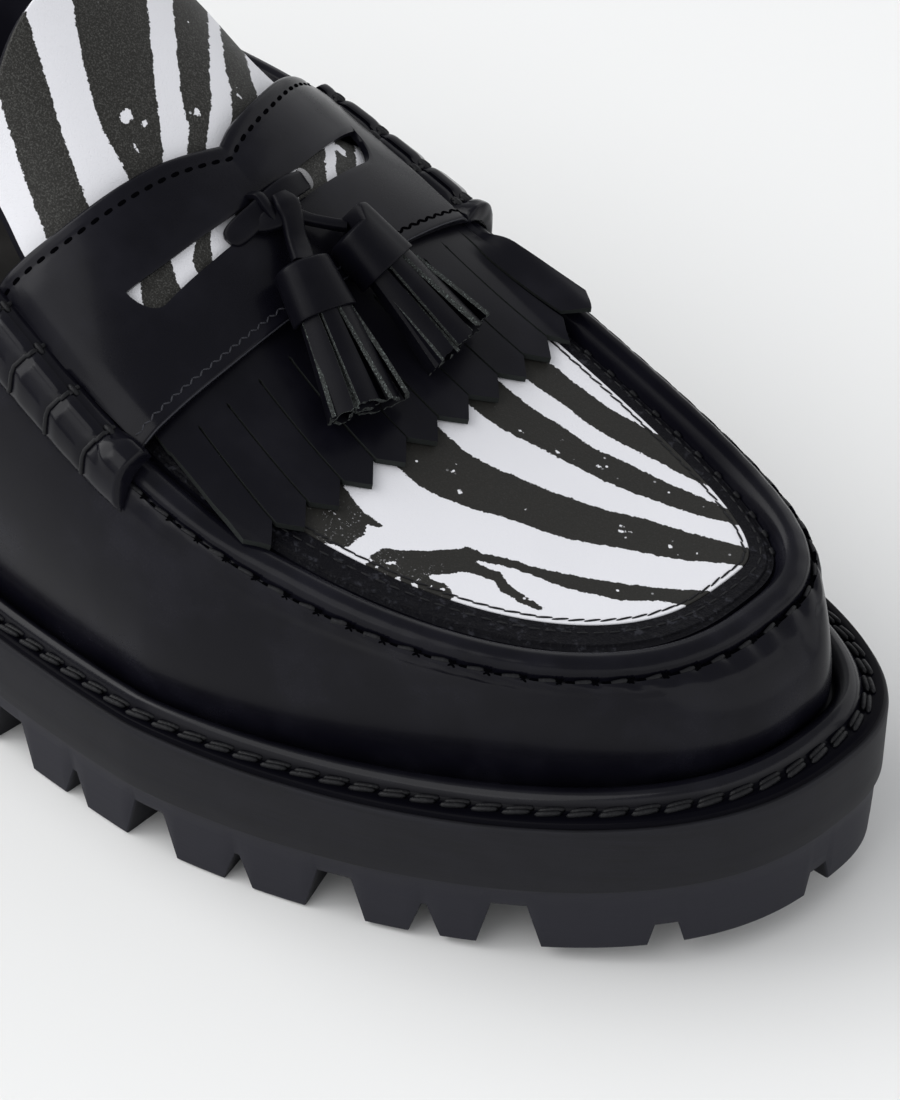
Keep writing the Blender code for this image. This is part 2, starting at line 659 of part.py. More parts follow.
def build_tassel(parts, cutters, side):
    top, end = (over(*place) for place in TASSELS[side])
    middle = [(a + b) / 2 for a, b in zip(*TASSELS[side])]
    axis = (end - top) / np.linalg.norm(end - top)
    up = cover_normal(middle[0], middle[1])
    up = up - axis * (up @ axis)
    up /= np.linalg.norm(up)
    aside = np.cross(up, axis)

    def frame(share):
        return top + (end - top) * share, aside, up

    turn = np.linspace(0, 2 * math.pi, 13)[:-1]
    oval = [(np.sign(c) * abs(c) ** 0.8, np.sign(s) * abs(s) ** 0.8) for c, s in zip(np.cos(turn), np.sin(turn))]
    shares, wide, high = zip(*CAP_SECTIONS)
    name = "tassel_" + side
    tassel = new_object(name, *swept([frame(s) for s in shares], wide, high, oval), parts,
                        material("tassel_leather", BLACK_LEATHER, 0.4))
    sets = ([], [])
    for strip in range(STRIPS):
        angle = 2 * math.pi * (strip + 0.5) / STRIPS
        loops = []
        for share, half_wide, half_high, width in STRIP_SECTIONS:
            place, _, _ = frame(share)
            radial = aside * math.cos(angle) * half_wide + up * math.sin(angle) * half_high
            tangent = -aside * math.sin(angle) * half_wide + up * math.cos(angle) * half_high
            tangent /= np.linalg.norm(tangent)
            out = np.cross(tangent, axis)
            centre = place + radial
            loops.append(np.array([centre + tangent * (a * width / 2) + out * (b * STRIP_THICK / 2)
                                   for a, b in ((-1, -1), (1, -1), (1, 1), (-1, 1))]))
        faces = skin(loops) + [(3, 2, 1, 0), tuple(len(loops) * 4 - 4 + k for k in range(4))]
        sets[strip % 2].append((np.concatenate(loops), faces))
    for number, bodies in enumerate(sets):
        boolean(tassel, helper(f"{name}_strips_{number}", *gather(bodies), cutters), "UNION")


def thong(path):
    """A flat thong along places given by length, side, offset and half width."""
    rows = np.array(path)
    places = over(rows[:, 0], rows[:, 1], rows[:, 2])
    along = np.gradient(places, axis=0)
    up = cover_normal(rows[:, 0], rows[:, 1])
    aside = np.cross(up, along)
    aside /= np.linalg.norm(aside, axis=1)[:, None]
    up = np.cross(along, aside)
    up /= np.linalg.norm(up, axis=1)[:, None]
    ring = ((-1, -0.6), (-0.8, -1), (0.8, -1), (1, -0.6), (1, 0.6), (0.8, 1), (-0.8, 1), (-1, 0.6))
    return swept(list(zip(places, aside, up)), rows[:, 3], [THONG_THICK / 2] * len(rows), ring)


def build_knot(parts, cutters):
    knot = new_object("tassel_knot", *thong(THONGS[0]), parts, material("thong_leather", BLACK_LEATHER, 0.35))
    for number, path in enumerate(THONGS[1:]):
        boolean(knot, helper(f"thong_{number}", *thong(path), cutters), "UNION")


def main():
    for old in list(bpy.data.objects):
        bpy.data.objects.remove(old)
    parts = bpy.data.collections.new("tassel_loafer")
    cutters = bpy.data.collections.new("cutters")
    for group in (parts, cutters):
        bpy.context.scene.collection.children.link(group)
    build_outsole(parts, cutters)
    build_welt(parts)
    build_insole(parts)
    build_upper(parts)
    build_strap(parts)
    build_fringe(parts)
    for side in ("lateral", "medial"):
        build_beef_roll(parts, side)
        build_tassel(parts, cutters, side)
    build_knot(parts, cutters)


if __name__ == "__main__":
    main()
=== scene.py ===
"""Chunky tassel loafer, right shoe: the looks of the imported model, drawn as surfaces worked out with numpy.

Shapes are in millimetres in the model's own frame and become metres when a mesh is made. +X is the toe,
+Y the inner side of the foot, +Z is up, and the floor is Z = 0.
"""

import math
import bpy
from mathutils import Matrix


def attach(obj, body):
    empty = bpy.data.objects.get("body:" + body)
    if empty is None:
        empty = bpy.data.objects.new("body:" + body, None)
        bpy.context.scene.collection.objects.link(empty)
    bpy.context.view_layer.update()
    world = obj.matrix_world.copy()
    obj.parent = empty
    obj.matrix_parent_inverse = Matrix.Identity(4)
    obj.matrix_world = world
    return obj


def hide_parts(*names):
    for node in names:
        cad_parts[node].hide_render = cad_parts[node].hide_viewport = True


bl_info = {
    "name": "Chunky tassel loafer",
    "version": (1, 0, 0),
    "blender": (4, 5, 0),
    "location": "View3D > Sidebar > Loafer",
    "description": "Dresses the packed loafer with leather, rubber, stitches, print, fringe and tassels",
    "category": "Add Mesh",
}

import bmesh
import bpy
import numpy as np
from mathutils import Vector

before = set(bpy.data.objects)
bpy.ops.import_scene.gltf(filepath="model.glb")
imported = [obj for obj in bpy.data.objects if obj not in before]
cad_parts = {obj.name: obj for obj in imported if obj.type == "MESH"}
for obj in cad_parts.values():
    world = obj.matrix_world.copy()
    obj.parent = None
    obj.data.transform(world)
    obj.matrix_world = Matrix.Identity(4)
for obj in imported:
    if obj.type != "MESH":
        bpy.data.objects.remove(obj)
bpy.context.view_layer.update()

MM = 0.001
# Stations round the shoe: seat, ball, toe tip, one full turn
SEAT_AT, BALL_AT, TIP, TURN = 8.0, 24.0, 38.0, 76.0

# Plan outlines: places along the length, half widths at ball, waist and seat, toe roundness (power, root)
CENTRE, TOE_SHIFT = 4.0, 8.25
OUTLINES = {
    "rim": dict(toe=148.0, ball=48.0, waist=-40.0, seat=-106.0, back=-148.0,
                lat=(60.4, 52.0, 41.0), med=(52.5, 36.5, 39.0),
                lat_toe=(1.41, 2.64), med_toe=(1.42, 2.26)),
    "top": dict(toe=131.0, ball=48.0, waist=-35.0, seat=-105.0, back=-137.0,
                lat=(48.2, 37.5, 31.5), med=(43.3, 35.5, 31.0),
                lat_toe=(2.17, 2.54), med_toe=(1.38, 2.74)),
}
HEEL_POWER, HEEL_ROOT = 2.0, 2.25

# Sole heights
SOLE_THICK, HEEL_RISE, HEEL_RISE_FROM, HEEL_RISE_RUN = 27.7, 11.0, 20.0, 110.0
SPRING, SPRING_FROM, SPRING_RUN = 6.4, 68.0, 80.0
STEP_DROP, FIELD_DEEP, FIELD_INSET = 13.5, 7.0, 17.0
ARCH = ((-61.0, -2.0), (-57.0, 9.5), (-46.0, 12.2), (-30.0, 12.6), (-14.0, 11.5), (-5.0, 8.0), (-1.0, -2.0))
FIELDS = ((6.0, 112.0), (-132.0, -78.0))
# Tread bars: length and width of each, and their plan as lengths and shares of the half width
BARS = ((22.0, 30.0), (46.0, 34.0), (70.0, 32.0), (94.0, 24.0), (-105.0, 26.0))
BAR_PLAN, BAR_TOP = ((-4.5, -1), (0.5, 0), (-4.5, 1), (4.5, 1), (9.5, 0), (4.5, -1)), 7.4
# Side of the sole, inset and height: at the lug's bottom edge, at the step and at the upper rim
TREAD_INSETS = (FIELD_INSET, 12.0, 6.0, 2.7)
LUG_EDGE, LUG_INSET, LUG_SLOPE = ((2.25, 0.12), (1.95, 0.5)), 1.9, 0.8
STEP_EDGE = ((1.05, -0.7), (0.85, -0.35), (0.45, -0.1), (0.28, 0.25))
RIM_EDGE = ((0.0, -1.1), (0.1, -0.45), (0.35, -0.12), (0.75, 0.0), (9.0, 0.0))

# Notches between the lugs: width at the bottom, width at the top, height
NOTCH_KINDS = {"wide": (11.0, 6.0, 9.0), "vee": (5.6, 0.9, 6.6), "toe": (6.1, 3.8, 4.4)}
TOE_LUG_ARC = 19.5
FOREFOOT_NOTCHES = (
    (14.2, "toe"), (40.2, "wide"), (54.6, "vee"), (70.4, "wide"), (88.4, "vee"), (105.9, "wide"),
    (123.5, "vee"), (140.0, "wide"),
)
HEEL_NOTCHES = ((0.0, "vee"), (17.0, "wide"), (34.0, "vee"), (51.0, "wide"), (68.0, "vee"))

# Welt across its width: share of the width from the rim, height above the sole
WELT_NARROW, WELT_WIDE, WELT_FROM, WELT_RUN = 7.0, 10.2, 40.0, 70.0
CHANNEL, CHANNEL_END, STRAND_APART = 0.33, 0.41, 0.46
WELT_SECTION = (
    (0.07, 0.3), (0.08, 0.9), (0.12, 1.2), (0.22, 1.25), (0.33, 1.0), (0.40, 1.05), (0.44, 1.6), (0.48, 2.3),
    (0.53, 2.9), (0.59, 3.25), (0.65, 3.35), (0.71, 3.2), (0.78, 2.8), (0.85, 2.1), (0.90, 1.2), (0.92, 0.35),
)

# Upper: wall from feather line to top line as shares of rise and of lean
WALL_THICK, FEATHER_GAP = 2.2, 0.35
WALL_PROFILE = (
    (0.0, 0.0), (0.16, -0.13), (0.36, -0.17), (0.56, -0.05), (0.76, 0.24), (0.90, 0.60), (1.0, 1.0),
)
TOP_LINE = (
    (131.0, 51.9), (110.0, 53.3), (90.0, 56.0), (70.0, 59.6), (48.0, 64.5), (39.0, 66.8), (22.0, 72.8),
    (5.0, 79.0), (-30.0, 84.0), (-70.0, 86.5), (-110.0, 93.5), (-137.0, 99.0),
)
# Raised roll inside the sewn seam: inset from the seam, height over it
SEAM_ROLL = (
    (0.0, 0.0), (0.25, -0.4), (0.5, -0.65), (0.8, -0.6), (1.0, -0.1), (1.1, 0.6), (1.45, 1.5), (2.2, 2.2),
    (3.2, 2.6), (4.2, 2.6), (5.2, 2.2), (6.0, 1.35), (6.6, 0.45), (7.0, -0.1),
)
ROLL_STEPS, ROLL_REST, ROLL_FADE_FROM, ROLL_FADE_RUN = 40, 0.12, 32.0, 6.0
GROOVE_INSET, BAND_INSET, THROAT = 5.4, 17.0, 20.0
# Relief at the sewn seam: turned edge below it, pinch at each stitch, puckers, more at the toe, long waves there
TURNED_EDGE, PINCH, PUCKER, TOE_PUCKER, TOE_WAVE, TOE_REACH = 0.22, 0.25, 0.03, 0.10, 0.02, 42.0
SPINE = (
    (126.0, 52.5), (110.0, 53.6), (95.0, 55.6), (80.0, 58.6), (65.0, 62.0), (50.0, 67.4), (39.0, 73.0),
    (25.0, 83.0), (16.0, 90.3), (0.0, 103.5), (-16.0, 117.5),
)
CROWN_POWER = 2.5
# Free tongue: length, half width, share of the full drop of its sides
TONGUE = (
    (34.0, 30.0, 1.0), (20.0, 33.0, 1.0), (4.0, 33.5, 1.0), (-3.0, 31.5, 0.96), (-10.0, 30.0, 0.86),
    (-16.5, 29.0, 0.75),
)
TONGUE_END, TONGUE_ROUND = -16.5, 12.0
# Inset of the print's edge from the seam, by station
PRINT_INSET = (
    (20.0, 13.4), (30.0, 13.0), (35.0, 12.9), (38.0, 12.3), (43.0, 10.7), (48.0, 10.3), (56.0, 10.4),
)
INSOLE_THICK, INSOLE_INSET = 3.6, 2.9
# Sock: share of the way in from its border, dish
SOCK_ROWS = ((0.015, -0.1), (0.06, 0.0), (0.25, -0.05), (0.5, -0.1), (0.75, -0.12), (1.0, -0.12))

# Overlays: ramp that carries them over the roll, strap edges, slot, fringe
RAMP, RAMP_FROM, RAMP_RUN, RAMP_START, RAMP_LENGTH = 3.0, 0.86, 0.20, 39.0, 8.0
OVER_Y, STRAP_HIGH, STRAP_END_INSET, STRAP_NOMINAL = 4.8, 4.9, 5.0, 43.0
# Strap edges by distance from its middle line: rear edge with the notch at 0.6, front edge, edges of the slot
STRAP_REAR = (
    (-44.0, 1.6), (-35.0, 4.9), (-27.0, 7.5), (-17.0, 9.5), (-10.5, 10.5), (-5.4, 11.5), (-1.6, 12.3),
    (0.6, 12.8),
)
STRAP_REAR_INNER = (
    (0.6, 12.8), (3.9, 11.5), (8.7, 10.1), (14.3, 8.5), (21.8, 5.8), (30.0, 2.6), (37.0, -0.6), (44.0, -3.6),
)
STRAP_FRONT = (
    (-44.0, 38.3), (-33.0, 38.1), (-24.7, 38.1), (-11.3, 37.7), (0.0, 37.3), (15.0, 36.9), (30.0, 36.7),
    (44.0, 36.9),
)
STRAP_NOTCH, LIP_REAR, LIP_FRONT, ZIG_DARK_FROM = 0.6, 2.6, 1.6, 18.0
SLOT_HALF, SLOT_START, SLOT_END, SLOT_ROUND = 29.0, -28.2, 27.9, 3.4
SLOT_REAR = (
    (-28.2, 20.2), (-20.0, 21.1), (-14.0, 21.3), (-5.0, 21.3), (5.6, 20.6), (10.2, 20.2), (17.2, 19.0),
    (27.9, 16.4),
)
SLOT_FRONT = (
    (-28.2, 25.4), (-24.8, 25.3), (-21.8, 25.1), (-14.3, 24.8), (-8.4, 24.5), (8.5, 24.2), (15.8, 23.5),
    (22.7, 22.8), (27.9, 22.0),
)
# Fringe by share across, -1 outer to 1 inner: side where the slits start, side at the tips, length of that start
FRINGE_STRIPS, SLIT, FRINGE_FROM, FRINGE_TO = 12, 0.4, 41.5, 64.0
FRINGE_START = (
    (-1.0, -35.6), (-0.833, -29.0), (-0.667, -22.7), (-0.5, -15.4), (-0.333, -8.2), (0.0, 5.9), (0.5, 27.1),
    (0.667, 33.2), (0.833, 38.9), (1.0, 43.9),
)
FRINGE_ENDS = (
    (-1.0, -40.6), (-0.833, -33.3), (-0.667, -25.8), (-0.5, -18.2), (-0.333, -10.5), (0.0, 4.8),
    (0.333, 20.1), (0.5, 27.1), (0.667, 33.7), (0.833, 39.8), (1.0, 45.6),
)
FRINGE_CUT = ((-1.0, 41.6), (0.0, 41.4), (0.5, 39.8), (0.667, 39.0), (0.833, 37.8), (1.0, 37.0))
FRINGE_REAR, FRINGE_TIP, FRINGE_TIP_DROP, TIP_CHAMFER = 31.0, 67.4, 2.6, 3.6

# Rolls at the strap ends
ROLL_ENDS, ROLL_WRAPS = {"lateral": (1.5, 41.0), "medial": (1.5, 37.6)}, (5.7, 14.7, 23.7, 32.7)
BEEF_GAP = 0.45
# Pinch under the wraps, height of the dome, knots by step along each wrap
ROLL_SHAPE = {"lateral": (0.14, 3.2, (-3,)), "medial": (0.3, 2.7, (-3, 8, 12))}
# Lines on the seam roll that carry them: inset, height, extra height where the roll fades
ROLL_BED = ((1.2, 1.8, 0.0), (2.9, 2.7, 0.6), (4.9, 2.7, 2.6))
# Tassels: length, side and offset of the cap's top, the same for the strip ends
TASSELS = {"lateral": ((32.3, 0.4, 9.6), (57.2, -6.2, 5.7)), "medial": ((31.0, 12.6, 9.6), (57.0, 16.6, 5.9))}
CAP_SECTIONS = (
    (0.0, 3.6, 2.9), (0.012, 4.4, 3.6), (0.035, 4.8, 3.95), (0.12, 5.0, 4.05), (0.34, 5.55, 4.05),
    (0.365, 5.5, 3.95), (0.37, 5.1, 3.6), (0.36, 4.6, 3.1),
)
# Lap of the cap's leather: share of its height, angle where it starts, run, slant of the cap's top
CAP_LAPS = {"lateral": (0.3, 2.4, 0.2, 0.0), "medial": (1.0, 1.35, 0.18, 0.09)}
# Rings of strips: count, place of the first, share of the oval
STRIP_RINGS, STRIP_HALF = ((8, 0.25, 1.0), (5, 0.6, 0.42)), 0.38
# Cuff that holds the thong: length, side, offset
CUFF = ((20.4, 3.6, 5.2), (21.2, 3.5, 7.1), (22.8, 3.2, 7.7), (24.6, 3.4, 7.4), (25.6, 4.2, 6.6))
# Thong: length, side, offset and half width along each piece
THONGS = {
    "through_slot": (
        (23.9, -4.7, 4.2, 0.9), (23.8, -4.0, 4.5, 1.9), (23.6, -2.0, 5.2, 2.3), (23.1, 2.0, 6.0, 2.2),
        (22.6, 6.0, 6.8, 2.2), (22.3, 9.5, 6.8, 2.2), (22.3, 11.8, 6.4, 2.0), (22.4, 13.4, 6.0, 1.7),
    ),
    "near_leg": (
        (22.6, 6.4, 7.6, 1.6), (24.2, 6.1, 8.5, 2.3), (26.1, 5.5, 8.2, 2.0), (28.5, 4.2, 7.8, 1.9),
        (30.5, 2.9, 8.4, 2.1), (32.4, 1.4, 9.4, 2.2),
    ),
    "far_leg": (
        (25.4, 6.2, 7.6, 1.4), (27.4, 8.4, 7.6, 1.0), (29.4, 10.7, 8.2, 0.95), (31.2, 12.5, 9.2, 0.95),
    ),
    "fold": (
        (24.4, 0.4, 5.4, 1.0), (24.7, 2.2, 6.4, 1.8), (25.0, 4.4, 7.3, 2.0), (25.0, 6.4, 7.6, 1.4),
    ),
}

# Zebra stripes of the apron and of the tongue: rows of length, side of the middle and half width of a dark stripe
APRON_STRIPES = (
    ((52, 27.2, 3.2), (58, 27.5, 3.2), (66, 27.9, 3.2), (73, 28, 2.8), (80, 28.1, 2.9), (86, 29, 3),
     (92, 30.3, 2.9), (100, 32, 3.2), (112, 36, 3)),
    ((52, 16.1, 4.2), (58, 16.2, 4.2), (65, 16.4, 4.1), (72, 16.6, 3.8), (78, 17.8, 3.5), (83, 18.4, 3),
     (88, 19.7, 3.1), (93, 21, 3), (98, 22.5, 2.6), (104, 24.4, 2.3), (109, 26.3, 1.8), (113, 28, 1.5),
     (121, 31.5, 1.2)),
    ((52, -1.9, 5.9), (58, -1.8, 5.9), (66, -1.6, 5.9), (72, -1.7, 5.9), (76, -0.8, 5.7), (80, 0.8, 5.6),
     (85, 3, 5), (90, 5.2, 5), (95, 7.5, 4.9), (100, 10.7, 4.7), (105, 13.4, 4.2), (110, 16, 3.8),
     (116, 19.7, 2.8), (122, 23, 2)),
    ((85, -13.6, 1.8), (88, -11.7, 1.2), (92, -9.1, 1.1), (96, -7.2, 1.1), (100, -5.3, 1.7), (105, -2.5, 2.1),
     (110, 0.8, 2.4), (114, 4.2, 2), (117, 6.5, 2.4), (122, 10.6, 2.4)),
    ((76.4, -24, 1.8), (78, -23.1, 2), (80.8, -20.9, 2.7), (84.8, -17.2, 4.1), (88, -14.2, 3)),
    ((86.5, -15.6, 2), (90, -13.9, 1.3), (93, -12.9, 1.1), (95, -13.7, 1), (97.7, -13.5, 0.9),
     (100.3, -13.3, 0.7), (102.4, -12.7, 0.4)),
    ((52, -24, 8), (58, -24, 8), (64, -24.8, 7.2), (67, -24.6, 6), (70, -23.9, 4.5), (72.6, -24.6, 2.4)),
    ((68, -21, 1.8), (70, -20.2, 1.2), (73.2, -19.2, 0.5)),
    ((77, -26.6, 2.3), (79, -25.6, 2.8), (82, -24.6, 3.1), (84, -23.9, 2.9), (86, -24, 2.6), (88, -22.9, 2.4),
     (90, -22.4, 1.7), (91, -22, 0.6)),
)
TONGUE_STRIPES = (
    ((-17, -12.5, 4.6), (1, -20.4, 4.2), (4.6, -21.9, 4.2), (7.7, -23, 4.2), (16, -28, 4), (32, -36, 4)),
    ((-17, 11, 8.6), (-3, 0.4, 7.4), (2, -3, 6.3), (6, -5.1, 5.1), (9.5, -7, 4), (16, -13.6, 3.6),
     (21, -18.6, 3.6), (24.6, -20.8, 4), (32, -27, 4)),
    ((-17, 31, 4.2), (-4, 18.5, 4), (4.4, 10.5, 3.4), (7, 8.4, 3), (9, 6.3, 2.4), (11, 3.6, 2.4),
     (16, -2, 2.1), (21.5, -7.9, 1.8), (23, -9.8, 2.1), (24.7, -10.7, 1.9), (32, -16.5, 1.9)),
    ((-12, 36, 3), (4, 21.5, 2.9), (6.2, 20, 3), (8.2, 18.2, 3.1), (10.3, 16, 3.4), (13, 12.5, 3.8),
     (21, 4.3, 4), (24.5, 1.4, 4), (32, -5, 4)),
    ((0, 42, 3), (12, 29.5, 3.2), (19.5, 20.6, 3.6), (25, 15.2, 3.6), (32, 8, 3.6)),
    ((2, 45, 2.5), (12, 37, 2.5), (18.5, 30.2, 2.5), (25, 23.8, 2.5), (32, 17, 2.5)),
)
# White islands: length, side, half length, half width
TONGUE_ISLANDS = (
    (2.8, -4.5, 0.95, 1.3), (4.9, -2.4, 0.5, 0.7), (6.8, -6.8, 0.8, 0.5), (7.3, 7.6, 0.7, 0.7),
    (18.3, 29.2, 1.3, 0.9), (5.6, 19.6, 0.35, 0.25), (7.0, 18.2, 0.5, 0.25),
)
APRON_ISLANDS = (
    (72.6, -0.9, 0.4, 0.3), (72.0, 0.8, 0.3, 0.25), (74.4, 0.4, 0.25, 0.2), (76.5, -3.4, 0.5, 0.4),
    (79.2, -1.0, 0.5, 0.25), (71.0, -1.6, 0.25, 0.2), (99.7, 10.4, 0.6, 0.35), (100.6, 11.5, 0.4, 0.25),
    (98.9, 11.3, 0.35, 0.22), (101.0, 9.8, 0.3, 0.2), (107.3, 13.7, 0.4, 0.3), (107.0, 15.0, 0.3, 0.2),
    (111.2, 15.6, 0.35, 0.2), (74.0, 14.8, 0.5, 0.3), (80.9, 16.0, 0.5, 0.22), (79.6, 18.6, 0.25, 0.2),
    (83.5, 17.0, 0.3, 0.2), (87.3, 19.0, 0.6, 0.2), (107.9, -0.5, 0.3, 0.25), (86.0, 2.0, 0.25, 0.2),
    (79.1, -24.0, 0.35, 0.3), (79.9, -23.3, 0.4, 0.3), (78.6, -26.0, 0.4, 0.35), (82.3, -25.4, 0.4, 0.35),
    (85.1, -24.3, 0.55, 0.4), (84.6, -22.9, 0.35, 0.3), (86.8, -22.5, 0.3, 0.3), (88.7, -21.6, 0.35, 0.3),
)

# Leathers: share of the black, roughness, coat, grain size and depth in millimetres, clouds, shine
LEATHERS = {
    "vamp": (1.0, 0.26, 0.06, 0.5, 0.012, 0.6, 0.105),
    "strap": (1.0, 0.30, 0.04, 0.5, 0.012, 0.4, 0.105),
    "roll": (1.0, 0.24, 0.08, 0.5, 0.012, 0.4, 0.105),
    "fringe": (1.0, 0.34, 0.02, 0.45, 0.014, 0.3, 0.105),
    "tassel": (0.8, 0.42, 0.0, 0.4, 0.02, 0.3, 0.085),
    "welt": (1.0, 0.24, 0.16, 0.6, 0.02, 0.3, 0.105),
    "lining": (1.3, 0.6, 0.0, 0.5, 0.03, 0.4, 0.105),
    "band": (0.8, 0.5, 0.0, 0.6, 0.06, 0.3, 0.08),
}

# Camera: bearing and height of the view in degrees, distance and aim in millimetres, focal length in pixels
VIEW_AZIMUTH, VIEW_HEIGHT, VIEW_DISTANCE = 41.48, 39.6, 835.9
VIEW_AIM, VIEW_FOCAL, VIEW_RISE = (60.86, 11.73, 30.0), 4872.6, 3.0
PICTURE = (900, 1100)


# Curves and outlines


def through(x, table, flat_ends=False):
    """A smooth curve through the rows of a short table: cubic pieces with slopes from their neighbours."""
    rows = np.array(table, float)
    xs, ys = rows[np.argsort(rows[:, 0])].T
    steps = np.diff(ys) / np.diff(xs)
    slopes = np.empty_like(ys)
    slopes[1:-1] = (steps[:-1] * np.diff(xs)[1:] + steps[1:] * np.diff(xs)[:-1]) / (xs[2:] - xs[:-2])
    slopes[0], slopes[-1] = (0.0, 0.0) if flat_ends else (steps[0], steps[-1])
    x = np.asarray(x, float)
    i = np.clip(np.searchsorted(xs, x) - 1, 0, len(xs) - 2)
    h = xs[i + 1] - xs[i]
    t = (x - xs[i]) / h
    inside = np.clip(t, 0.0, 1.0)
    a, b = inside * inside * (3 - 2 * inside), inside * (1 - inside)
    y = ys[i] * (1 - a) + ys[i + 1] * a + h * b * (slopes[i] * (1 - inside) - slopes[i + 1] * inside)
    beyond = (t - inside) * h
    return y + beyond * np.where(t > 1, slopes[i + 1], slopes[i])


def smooth_path(rows, count):
    """Points evenly spaced in number along a smooth curve through the rows of a table, all columns alike."""
    rows = np.asarray(rows, float)
    place = np.linspace(0, len(rows) - 1, count)
    return np.stack([through(place, list(enumerate(column))) for column in rows.T], -1)


def ease(t):
    """Smooth step from 0 to 1."""
    t = np.clip(t, 0, 1)
    return t * t * (3 - 2 * t)


def hump(t):
    """Bell curve, 1 at 0."""
    return np.exp(-np.asarray(t, float) ** 2)


def rounding(t, power, root):
    """Half width share of a round end: 0 at the tip, 1 where the side begins."""
    return (1 - np.clip(1 - t, 0.0, 1.0) ** power) ** (1 / root)


def half_width(name, side, x):
    """Half width of a plan outline on one side at length x: a round toe, a waisted middle and a round heel."""
    row = OUTLINES[name]
    ball, waist, seat = row[side]
    x = np.asarray(x, float)
    middle = through(x, ((row["seat"], seat), (row["waist"], waist), (row["ball"], ball)), flat_ends=True)
    toe = ball * rounding((row["toe"] - x) / (row["toe"] - row["ball"]), *row[side + "_toe"])
    heel = seat * rounding((x - row["back"]) / (row["seat"] - row["back"]), HEEL_POWER, HEEL_ROOT)
    return np.where(x > row["ball"], toe, np.where(x < row["seat"], heel, middle))


def centre_line(name, x):
    """Side of an outline's middle: straight, then bent to the inner side by the power 1.5 of the way to the toe."""
    row = OUTLINES[name]
    return CENTRE + TOE_SHIFT * np.clip((x - row["ball"]) / (row["toe"] - row["ball"]), 0, 1) ** 1.5


def station_x(name, t):
    """Length at a station: 0 at the back, 8 at the seat, 24 at the ball, 38 at the toe, closer at the round ends."""
    row = OUTLINES[name]
    heel = row["back"] + (row["seat"] - row["back"]) * (1 - np.cos(np.clip(t / SEAT_AT, 0, 1) * math.pi / 2))
    middle = row["seat"] + (row["ball"] - row["seat"]) * (t - SEAT_AT) / (BALL_AT - SEAT_AT)
    round_toe = 1 - np.cos(np.clip((TIP - t) / (TIP - BALL_AT), 0, 1) * math.pi / 2)
    toe = row["toe"] - (row["toe"] - row["ball"]) * round_toe
    return np.where(t < SEAT_AT, heel, np.where(t < BALL_AT, middle, toe))


def ring(name, s):
    """Plan outline at stations going round: 0 back, 38 toe tip along the outer side, 76 back along the inner side."""
    s = np.asarray(s, float) % TURN
    x = station_x(name, np.where(s <= TIP, s, TURN - s))
    side = np.where(s <= TIP, -half_width(name, "lat", x), half_width(name, "med", x))
    return np.stack([x, centre_line(name, x) + side], -1)


def inset_ring(name, s, distance):
    """The outline moved inwards along its own normal."""
    s = np.asarray(s, float)
    along = ring(name, s + 0.06) - ring(name, s - 0.06)
    along /= np.linalg.norm(along, axis=-1)[..., None]
    inwards = np.stack([-along[..., 1], along[..., 0]], -1)
    return ring(name, s) + inwards * np.broadcast_to(distance, inwards.shape[:-1])[..., None]


def spring(x):
    """Toe spring: a parabola from the ball forwards."""
    return SPRING * np.clip((np.asarray(x, float) - SPRING_FROM) / SPRING_RUN, 0, None) ** 2


def sole_top(x):
    """Height of the sole's upper face: its thickness with the toe spring in front and a smooth rise to the heel."""
    x = np.asarray(x, float)
    return SOLE_THICK + spring(x) + HEEL_RISE * ease((HEEL_RISE_FROM - x) / HEEL_RISE_RUN)


def welt_width(x):
    """Width of the welt: a smooth step from narrow at the waist to wide at the toe."""
    return WELT_NARROW + (WELT_WIDE - WELT_NARROW) * ease((np.asarray(x, float) - WELT_FROM) / WELT_RUN)


def roll_share(x):
    """The raised roll is full in front of the strap and fades out under it."""
    return ROLL_REST + (1 - ROLL_REST) * ease((np.asarray(x, float) - ROLL_FADE_FROM) / ROLL_FADE_RUN)


def raise_to(xy, z):
    """Plan points with their heights."""
    return np.concatenate([xy, np.broadcast_to(z, xy.shape[:-1])[..., None]], -1)


def unit(v):
    """Vectors divided by their lengths."""
    return v / np.maximum(np.linalg.norm(v, axis=-1), 1e-9)[..., None]


def face_normals_of(points, wrap=False):
    """Unit normals of a grid of points: cross product of its two directions, columns joined round if asked."""
    padded = np.concatenate([points[:, -1:], points, points[:, :1]], 1) if wrap else points
    across = np.gradient(padded, axis=1)
    across = across[:, 1:-1] if wrap else across
    return unit(np.cross(across, np.gradient(points, axis=0)))


# Surfaces that the pieces follow


def wall(s, rise):
    """Outer face of vamp and quarters: from the feather line to the top line, bulging by the profile's lean."""
    rim_x = ring("rim", s)[..., 0]
    foot = inset_ring("rim", s, welt_width(rim_x))
    top = ring("top", s)
    lean = through(rise, WALL_PROFILE)
    xy = foot + (top - foot) * lean[..., None]
    low = sole_top(foot[..., 0]) + FEATHER_GAP
    return raise_to(xy, low + (through(top[..., 0], TOP_LINE) - low) * rise)


def apron_share(x, y):
    """How far a place is from the middle of the apron: 0 there, 1 at the groove of either side."""
    centre = centre_line("top", x)
    low = centre - half_width("top", "lat", x) + GROOVE_INSET
    high = centre + half_width("top", "med", x) - GROOVE_INSET
    return np.abs((2 * y - low - high) / np.maximum(high - low, 8.0))


def apron_drop(x, w):
    """Fall of the apron from its spine: its full depth to the top line times the power 2.5 of the share across."""
    return (through(x, SPINE) - through(x, TOP_LINE) - 0.2) * np.minimum(w, 1.0) ** CROWN_POWER


def apron_height(x, y):
    """Height of the apron: its spine less a drop that grows with the power 2.5 towards the groove."""
    return through(x, SPINE) - apron_drop(x, apron_share(x, y))


